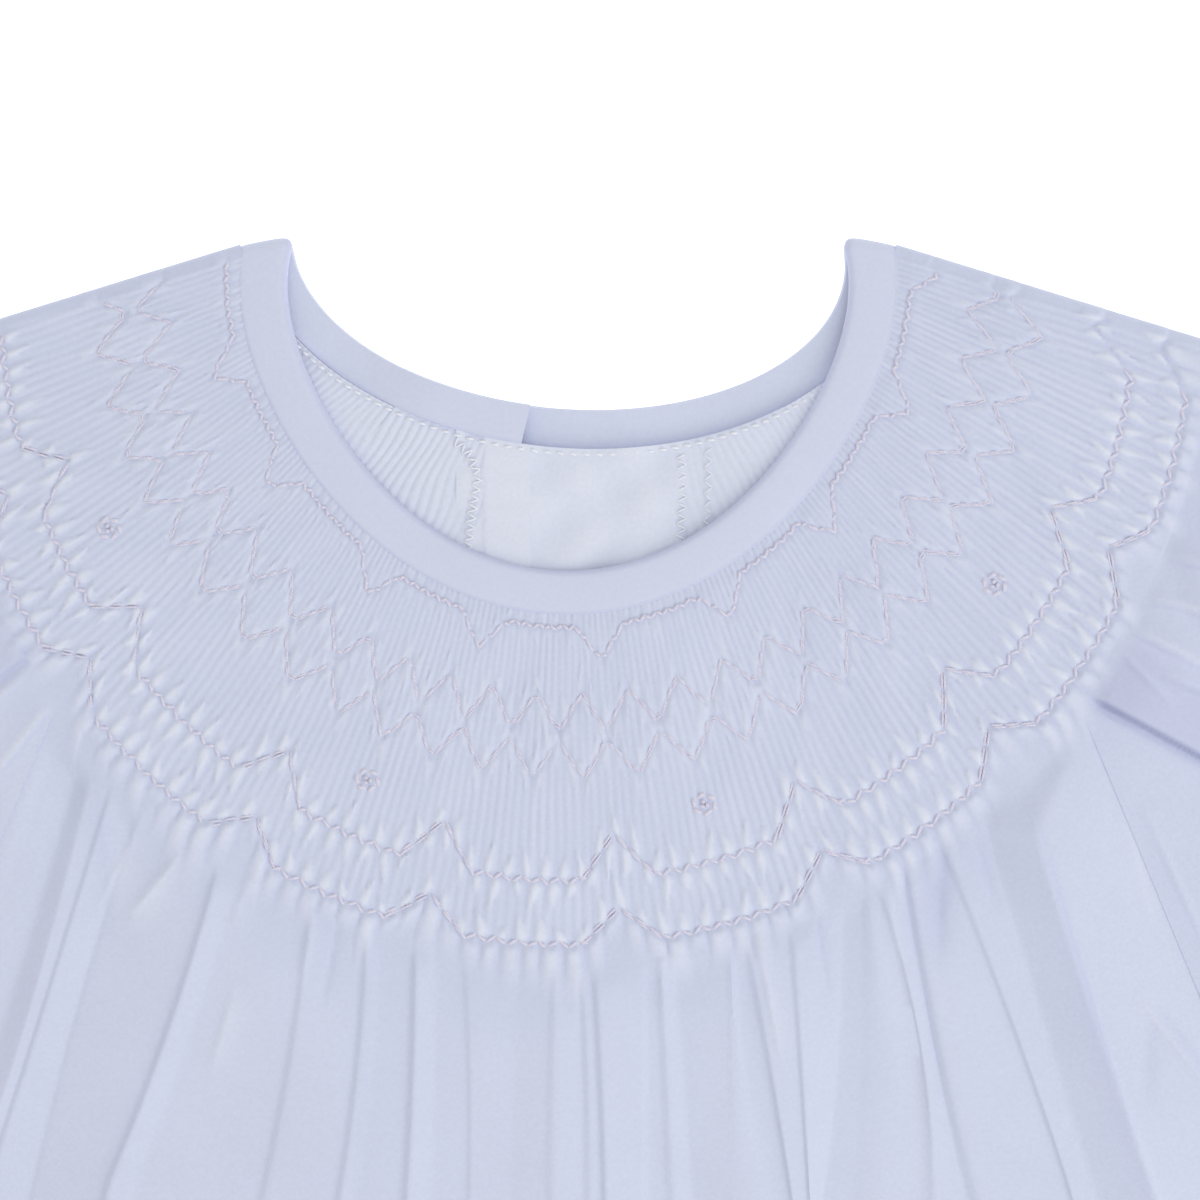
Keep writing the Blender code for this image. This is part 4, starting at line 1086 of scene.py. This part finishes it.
def stitchBodies(plan, height, thickness):
    # every stitch is a short bent rod: rings of six points at five places along it, thin and
    # sunk at both ends. plan is stitches x 2 x 2, height is stitches x 2
    place = np.array([0.0, 0.16, 0.5, 0.84, 1.0])
    girth = np.array([0.35, 0.85, 1.0, 0.85, 0.35])
    arch = np.array([-thread["sink"], -0.08, 0.14, -0.08, -thread["sink"]])
    line = plan[:, 1] - plan[:, 0]
    line = line / np.maximum(np.linalg.norm(line, axis=1, keepdims=True), 1e-6)
    beside = np.stack([-line[:, 1], line[:, 0], np.zeros(len(line))], -1)
    centre = mix(plan[:, None, 0], plan[:, None, 1], place[None, :, None])
    level = mix(height[:, None, 0], height[:, None, 1], place[None, :]) + arch
    middle = raised(centre, level)
    angle = np.linspace(0.0, 2 * np.pi, 7)[:-1]
    ring = beside[:, None, None] * np.cos(angle)[:, None] + np.array([0, 0, 1.0]) * np.sin(angle)[:, None]
    size = np.broadcast_to(np.asarray(thickness, float).reshape(-1, 1), (len(plan), 1)) * girth
    points = middle[:, :, None] + ring * size[:, :, None, None]
    faces = []
    one = gridFaces(5, 6, 0, True) + [list(range(6)), list(range(29, 23, -1))]
    for number in range(len(plan)):
        faces += [[corner + number * 30 for corner in face] for face in one]
    return points.reshape(-1, 3), faces


def makeStitches(name, groups):
    points, faces = np.zeros((0, 3)), []
    for plan, height, thickness in groups:
        some, their = stitchBodies(plan, height, thickness)
        faces += [[corner + len(points) for corner in face] for face in their]
        points = np.concatenate([points, some])
    return rideAs(makeMesh(name, points, faces, np.ones(len(points)), points[:, :2], 70.0))


def alongBack(first, last, pitch, length, lean):
    # short stitches beside the back neckline, all leaning the same way
    turns = np.arange(first, last, pitch)
    offset = bandFoot + 0.35
    plan = np.stack([backNeck(turns + way * length / 2, offset + way * lean) for way in (-1, 1)], 1)
    return plan, backLevel(plan)


def backLevel(plan):  # the height of the back beside its band: over the lap, the facing or pleats
    x = plan[..., 0]
    onLap = lapRamp(x) * (x < back["leftEdge"] + 0.2)
    turn = np.abs(np.degrees(np.arcsin(np.clip(x / 54.0, -1.0, 1.0))))
    plain = mix(4.35, 1.45, toShoulder(turn))
    return mix(plain, back["lapWall"] + back["lapLift"] + 0.45, onLap)


def zigzagStitches(points, pitch, reach):
    # one thread there and back across a line: up on one side, down on the other
    points = np.asarray(points)
    length = np.concatenate([[0.0], np.cumsum(np.hypot(*np.diff(points, axis=0).T))])
    place = np.arange(0.0, length[-1], pitch)
    line = np.stack([np.interp(place, length, points[:, k]) for k in (0, 1)], -1)
    way = np.gradient(line, axis=0)
    way = way / np.linalg.norm(way, axis=1, keepdims=True)
    beside = np.stack([-way[:, 1], way[:, 0]], -1)
    swing = np.where(np.arange(len(place)) % 2 == 0, reach, -reach)[:, None]
    line = line + beside * swing
    plan = np.stack([line[:-1], line[1:]], 1)
    return plan, backLevel(plan)


# edge finishes seen inside the neck: the line in mm, stitch pitch, reach to each side, thickness
serging = {
    "left": (((-19.0, 90.8), (-16.4, 88.6), (-15.2, 85.0), (-16.2, 78.0), (-17.2, 70.0), (-17.2, 40.0)),
             0.8, 0.9, 0.16),
    "right": (((18.8, 88.6), (19.0, 84.0), (18.8, 72.0), (18.8, 40.0)), 0.9, 0.9, 0.15),
    "far": (((23.4, 89.6), (23.4, 84.0), (23.2, 72.0), (23.2, 40.0)), 1.1, 0.7, 0.13),
}
# stitches along the band: pitch and length in degrees, lean, end of the rows
bandStitch = {"pitch": 2.3, "length": 1.5, "lean": 0.12, "end": 80.0}


def makeBackStitches():
    pitch, length, lean, end = bandStitch.values()
    rowRight = alongBack(backTurnOf(-5.6, bandFoot), end, pitch, length, lean)
    rowLeft = alongBack(-end, backTurnOf(-6.9, bandFoot), pitch, length, -lean)
    bandStitches = makeStitches("bandStitches", [(*rowRight, 0.24), (*rowLeft, 0.22)])
    left, right, far = ((*zigzagStitches(*edge[:3]), edge[3]) for edge in serging.values())
    leftSerging = makeStitches("leftSerging", [left])
    rightSerging = makeStitches("rightSerging", [right, far])
    print("back stitches made")
    return bandStitches, leftSerging, rightSerging


def onYoke(phase, radius):  # plan and height of places given by pleat number and radius
    sigma = np.clip(sigmaAt(phase), -1.0, 1.0)
    return yokePlan(sigma, radius), threadHeight(sigma, radius)


stitchSlip = dice.uniform(-1.0, 1.0, (4, 200))


def cableRow(name, reach):
    # one stitch over each pleat valley, leaning up and down by turns; where the line climbs to a
    # peak the stitches follow it
    number = np.arange(thread["firstPleat"], thread["lastPleat"])
    slip = stitchSlip[:, :len(number)]
    ends = []
    for way in (-1, 1):
        phase = number + way * thread["overlap"]
        swing = reach * (1.0 + 0.3 * slip[0]) * np.where(number % 2 == 0, 1.0, -1.0)
        radius = lineRadius(name, sigmaAt(number + way * 0.5)) + way * swing + 0.12 * slip[1]
        ends.append(onYoke(phase + 0.12 * slip[2], radius))
    plan, height = (np.stack(both, 1) for both in zip(*ends))
    phase = wavePhase(sigmaAt(number))
    tent = np.abs(phase - np.round(phase)) < smocking["peakWidth"] * 0.9
    return plan, height, tent


def peakThreads(name, spread):
    # two straight parallel threads up to each peak and two down, that cross at the top
    radius, bend, _ = stitchLines[name]
    reach = np.diff(wavePeaks).mean() * smocking["peakWidth"]
    plans, heights = [], []
    share = np.array([1.0, 0.68, 0.36, 0.04])
    for peak in wavePeaks[:-1]:
        for way in (-1, 1):
            for shift in (-spread, spread):
                sigma = peak + way * reach * share + shift * 0.002
                plan, height = onYoke(pleatPhase(sigma), radius + bend * (1.0 - share) + shift)
                plans += [plan[k:k + 2] for k in range(3)]
                heights += [height[k:k + 2] for k in range(3)]
    return np.array(plans), np.array(heights)


def lineThreads(name, spread):
    # two fine threads along a zigzag, a stitch over each pleat
    phase = np.arange(thread["firstPleat"], thread["lastPleat"])
    rows = []
    for shift, slip in ((-spread, stitchSlip[2]), (spread, stitchSlip[3])):
        slip = 0.14 * slip[:len(phase)]
        ends = [onYoke(place, lineRadius(name, sigmaAt(place)) + shift + slip)
                for place in (phase - thread["trellisOverlap"], phase + thread["trellisOverlap"])]
        rows.append([np.stack(both, 1) for both in zip(*ends)])
    return [np.concatenate(both) for both in zip(*rows)]


def makeSmocking():
    size = thread["thickness"]
    plan, height, _ = cableRow("neckCable", thread["neckReach"])
    made = [makeStitches("neckCable", [(plan, height, size)])]
    for name in ("innerTrellis", "outerTrellis"):
        plan, height = lineThreads(name, thread["trellisReach"])
        made.append(makeStitches(name, [(plan, height, thread["fine"])]))
    for name in ("upperScallops", "lowerScallops"):
        plan, height, tent = cableRow(name, thread["cableReach"])
        peaks = peakThreads(name, thread["peakReach"])
        rows = [(plan[~tent], height[~tent], size), (peaks[0], peaks[1] + 0.1, thread["fine"] * 1.1)]
        made.append(makeStitches(name, rows))
    # roses: six bent stitches round three shorter ones, in every second scallop
    plans, heights, sizes = [], [], []
    for number in range(0, 8, 2):
        sigma = (wavePeaks[number] + wavePeaks[number + 1]) / 2
        centre = yokePlan(sigma, smocking["roseRadius"])
        level = float(threadHeight(sigma, smocking["roseRadius"])) + 0.12
        for petals, radius, length, girth in ((6, 1.5, 1.9, 0.42), (3, 0.45, 0.9, 0.36)):
            turn = np.linspace(0.0, 2 * np.pi, petals + 1)[:-1] + number
            middle = centre + radius * np.stack([1.15 * np.cos(turn), np.sin(turn)], -1)
            way = np.stack([-np.sin(turn + 0.35), np.cos(turn + 0.35)], -1) * length / 2
            plans.append(np.stack([middle - way, middle + way], 1))
            heights.append(np.full((petals, 2), level + (0.25 if petals == 3 else 0.0)))
            sizes.append(np.full(petals, girth))
    knots = [(np.concatenate(plans), np.concatenate(heights), np.concatenate(sizes))]
    made.append(makeStitches("roseKnots", knots))
    print("smocking stitches made")
    return made


frontCloth = makeFront()
sleeveLeft = makeSleeve(-1, "sleeveClothLeft", "sleeve_left")
sleeveRight = makeSleeve(1, "sleeveClothRight", "sleeve_right")
ruffleLeft = makeCuff(-1, "ruffleLeft", "cuff_left")
ruffleRight = makeCuff(1, "ruffleRight", "cuff_right")
neckBinding = makeNeckband()
backLeft = makeBack(-1, "backClothLeft", "back_left")
backRight = makeBack(1, "backClothRight", "back_right")
innerYokeLeft = makeInnerYoke(-1, "innerYokeLeft")
innerYokeRight = makeInnerYoke(1, "innerYokeRight")
smockThreads = makeSmocking()
bandStitches, leftSerging, rightSerging = makeBackStitches()
def setInputs(tree, node, inputs):  # each input is linked where it is given a socket, or else set
    for place, value in inputs.items():
        if isinstance(value, bpy.types.NodeSocket):
            tree.links.new(value, node.inputs[place])
        else:
            node.inputs[place].default_value = value


def addNode(tree, kind, inputs=None, **settings):
    node = tree.nodes.new(kind)
    for name, value in settings.items():
        setattr(node, name, value)
    setInputs(tree, node, inputs or {})
    return node


def reckon(tree, operation, *values):  # the result of a Math node
    return addNode(tree, "ShaderNodeMath", dict(enumerate(values)), operation=operation).outputs[0]


def rampColour(tree, value, stops):
    node = addNode(tree, "ShaderNodeValToRGB", {0: value})
    bar = node.color_ramp.elements
    for element, (place, colour) in zip(bar, (stops[0], stops[-1])):
        element.position = place
        element.color = (*colour, 1)
    for place, colour in stops[1:-1]:
        bar.new(place).color = (*colour, 1)
    return node.outputs["Color"]


def newMaterial(name, finish):  # a material, its tree and its shader with the finish's plain values
    material = bpy.data.materials.new(name)
    material.use_nodes = True
    surface = material.node_tree.nodes["Principled BSDF"]
    setInputs(material.node_tree, surface, finish)
    return material, material.node_tree, surface


weaveSizes = {"Threads": 3200.0, "Fibre": 1500.0, "Clouds": 60.0}  # threads, and noise scales, in a metre


def makeWeaveGroup():
    # plain weave: two crossed sines, a fine fibre noise and slow cloudy shading, from Object
    # coordinates in metres
    group = bpy.data.node_groups.new("fineWeave", "ShaderNodeTree")
    for name, size in weaveSizes.items():
        socket = group.interface.new_socket(name=name, in_out="INPUT", socket_type="NodeSocketFloat")
        socket.default_value = size
    for name in ("Height", "Shade"):
        group.interface.new_socket(name=name, in_out="OUTPUT", socket_type="NodeSocketFloat")
    sizes = addNode(group, "NodeGroupInput").outputs
    place = addNode(group, "ShaderNodeTexCoord").outputs["Object"]
    parts = addNode(group, "ShaderNodeSeparateXYZ", {0: place}).outputs
    waves = []
    for axis in ("X", "Y"):
        turns = reckon(group, "MULTIPLY", parts[axis], sizes["Threads"])
        waves.append(reckon(group, "SINE", reckon(group, "MULTIPLY", turns, 2 * math.pi)))
    noises = []
    for name, detail in (("Fibre", 2.0), ("Clouds", 3.0)):
        inputs = {"Vector": place, "Scale": sizes[name], "Detail": detail}
        noises.append(addNode(group, "ShaderNodeTexNoise", inputs).outputs["Fac"])
    fibre, clouds = noises
    height = reckon(group, "MULTIPLY_ADD", reckon(group, "MULTIPLY", *waves), 0.25, fibre)
    shade = reckon(group, "MULTIPLY_ADD", fibre, 0.6, reckon(group, "MULTIPLY", clouds, 0.4))
    addNode(group, "NodeGroupOutput", {"Height": height, "Shade": shade})
    return group


clothFinish = {
    "Roughness": 0.88,
    "Sheen Weight": 0.12,
    "Sheen Roughness": 0.5,
    "Specular IOR Level": 0.25,
}
levelTone = 0.66  # place on the ramp of cloth whose tone is 1


def clothMaterial(name, stops, weave, grain, relief):
    # base colour: the piece's tone attribute, its painted light and shade, through a ramp, times a
    # little woven shading
    material, tree, surface = newMaterial(name, clothFinish)
    tone = addNode(tree, "ShaderNodeAttribute", attribute_name="tone").outputs["Fac"]
    colour = rampColour(tree, reckon(tree, "MULTIPLY", tone, levelTone), stops)
    woven = addNode(tree, "ShaderNodeGroup", node_tree=weave).outputs
    spread = {"From Min": 0.3, "From Max": 0.7, "To Min": 1.0 - grain, "To Max": 1.0 + grain}
    bright = addNode(tree, "ShaderNodeMapRange", {"Value": woven["Shade"], **spread}).outputs[0]
    tint = addNode(tree, "ShaderNodeVectorMath", {0: colour, "Scale": bright}, operation="SCALE")
    bumps = {"Strength": relief, "Distance": 0.0002, "Height": woven["Height"]}
    bump = addNode(tree, "ShaderNodeBump", bumps)
    setInputs(tree, surface, {"Base Color": tint.outputs[0], "Normal": bump.outputs[0]})
    return material


def threadMaterial(name, dark, light):
    # a twisted thread: fine slanted bands in colour and bump
    material, tree, surface = newMaterial(name, {"Roughness": 0.6, "Sheen Weight": 0.15})
    place = addNode(tree, "ShaderNodeTexCoord").outputs["Object"]
    bands = {"Vector": place, "Scale": 900.0, "Distortion": 2.0}
    wave = addNode(tree, "ShaderNodeTexWave", bands, wave_type="BANDS", bands_direction="DIAGONAL")
    twist = wave.outputs["Fac"]
    colour = rampColour(tree, twist, ((0.0, dark), (1.0, light)))
    bump = addNode(tree, "ShaderNodeBump", {"Strength": 0.3, "Distance": 0.0001, "Height": twist})
    setInputs(tree, surface, {"Base Color": colour, "Normal": bump.outputs[0]})
    return material


def pearlMaterial():
    # shell buttons: milky clouds under a thin gloss
    gloss = {"Roughness": 0.22, "Coat Weight": 0.5, "Coat Roughness": 0.08}
    material, tree, surface = newMaterial("pearlShell", gloss)
    place = addNode(tree, "ShaderNodeTexCoord").outputs["Object"]
    clouds = addNode(tree, "ShaderNodeTexNoise", {"Vector": place, "Scale": 260.0, "Distortion": 1.5})
    milk = ((0.35, (0.72, 0.70, 0.68)), (0.65, (0.86, 0.87, 0.90)))
    setInputs(tree, surface, {"Base Color": rampColour(tree, clouds.outputs["Fac"], milk)})
    return material


weave = makeWeaveGroup()
# ramps of cloth colour: tones below the level cloth's place give painted shade colours, tones above it
# painted highlight colours
clothColours = (
    (0.0, (0.40, 0.43, 0.62)),
    (0.45, (0.63, 0.67, 0.855)),
    (0.66, (0.69, 0.737, 0.893)),
    (1.0, (0.84, 0.87, 0.97)),
)
bandColours = (
    (0.0, (0.52, 0.54, 0.76)),
    (0.55, (0.66, 0.695, 0.875)),
    (0.66, (0.70, 0.745, 0.90)),
    (1.0, (0.80, 0.83, 0.94)),
)
batisteCloth = clothMaterial("batisteCloth", clothColours, weave, 0.035, 0.35)
bandCloth = clothMaterial("bandCloth", bandColours, weave, 0.03, 0.3)
stitchThread = threadMaterial("stitchThread", (0.71, 0.69, 0.82), (0.815, 0.795, 0.905))
whiteThread = threadMaterial("whiteThread", (0.88, 0.89, 0.95), (0.96, 0.97, 1.0))
pearlShell = pearlMaterial()
looks = {
    stitchThread: (*stitchLines, "roseKnots"),
    whiteThread: ("bandStitches", "leftSerging", "rightSerging"),
    bandCloth: ("neckBinding",),
}
lookOf = {name: look for look, names in looks.items() for name in names}
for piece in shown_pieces():
    if piece.name.startswith("button"):
        for place in piece.material_slots:
            place.link = "OBJECT"
            place.material = pearlShell
    else:
        piece.data.materials.append(lookOf.get(piece.name, batisteCloth))

studio = {
    "floorReach": 4.0,
    "floorLevel": -0.0003,
    "floorColour": (0.9, 0.9, 0.9, 1),
    "floorGlow": 0.6,
    "roomLight": 0.72,
    "boxPlace": (0.62, -0.42, 0.75),
    "boxAim": (0.0, 0.03, 0.0),
    "boxSize": 1.1,
    "boxPower": 3.6,
    "cameraPlace": (0.00533, 0.06417, 0.5616),
    "lens": 100,
    "sensor": 36,
}
white = (1, 1, 1, 1)


def makeStudio():
    floor = bpy.data.meshes.new("floor")
    reach, level = studio["floorReach"], studio["floorLevel"]
    corners = [(x * reach, y * reach, level) for x, y in ((-1, -1), (1, -1), (1, 1), (-1, 1))]
    floor.from_pydata(corners, [], [(0, 1, 2, 3)])
    glow = {"Emission Color": white, "Emission Strength": studio["floorGlow"]}
    paper = newMaterial("paperFloor", {"Base Color": studio["floorColour"], **glow})[0]
    floor.materials.append(paper)
    ground = intoScene("floor", floor)
    world = bpy.data.worlds.new("studio")
    world.use_nodes = True
    light = {"Color": white, "Strength": studio["roomLight"]}
    setInputs(world.node_tree, world.node_tree.nodes["Background"], light)
    bpy.context.scene.world = world
    lamp = bpy.data.lights.new("softBox", "AREA")
    lamp.shape = "DISK"
    lamp.size = studio["boxSize"]
    lamp.energy = studio["boxPower"]
    box = intoScene("softBox", lamp)
    box.location = studio["boxPlace"]
    aim = Vector(np.subtract(studio["boxAim"], studio["boxPlace"]))
    box.rotation_euler = aim.to_track_quat("-Z", "Y").to_euler()
    lens = bpy.data.cameras.new("camera")
    lens.lens = studio["lens"]
    lens.sensor_width = studio["sensor"]
    camera = intoScene("camera", lens)
    camera.location = studio["cameraPlace"]
    bpy.context.scene.camera = camera
    bpy.context.scene.view_settings.view_transform = "Standard"
    print("studio made")


makeStudio()
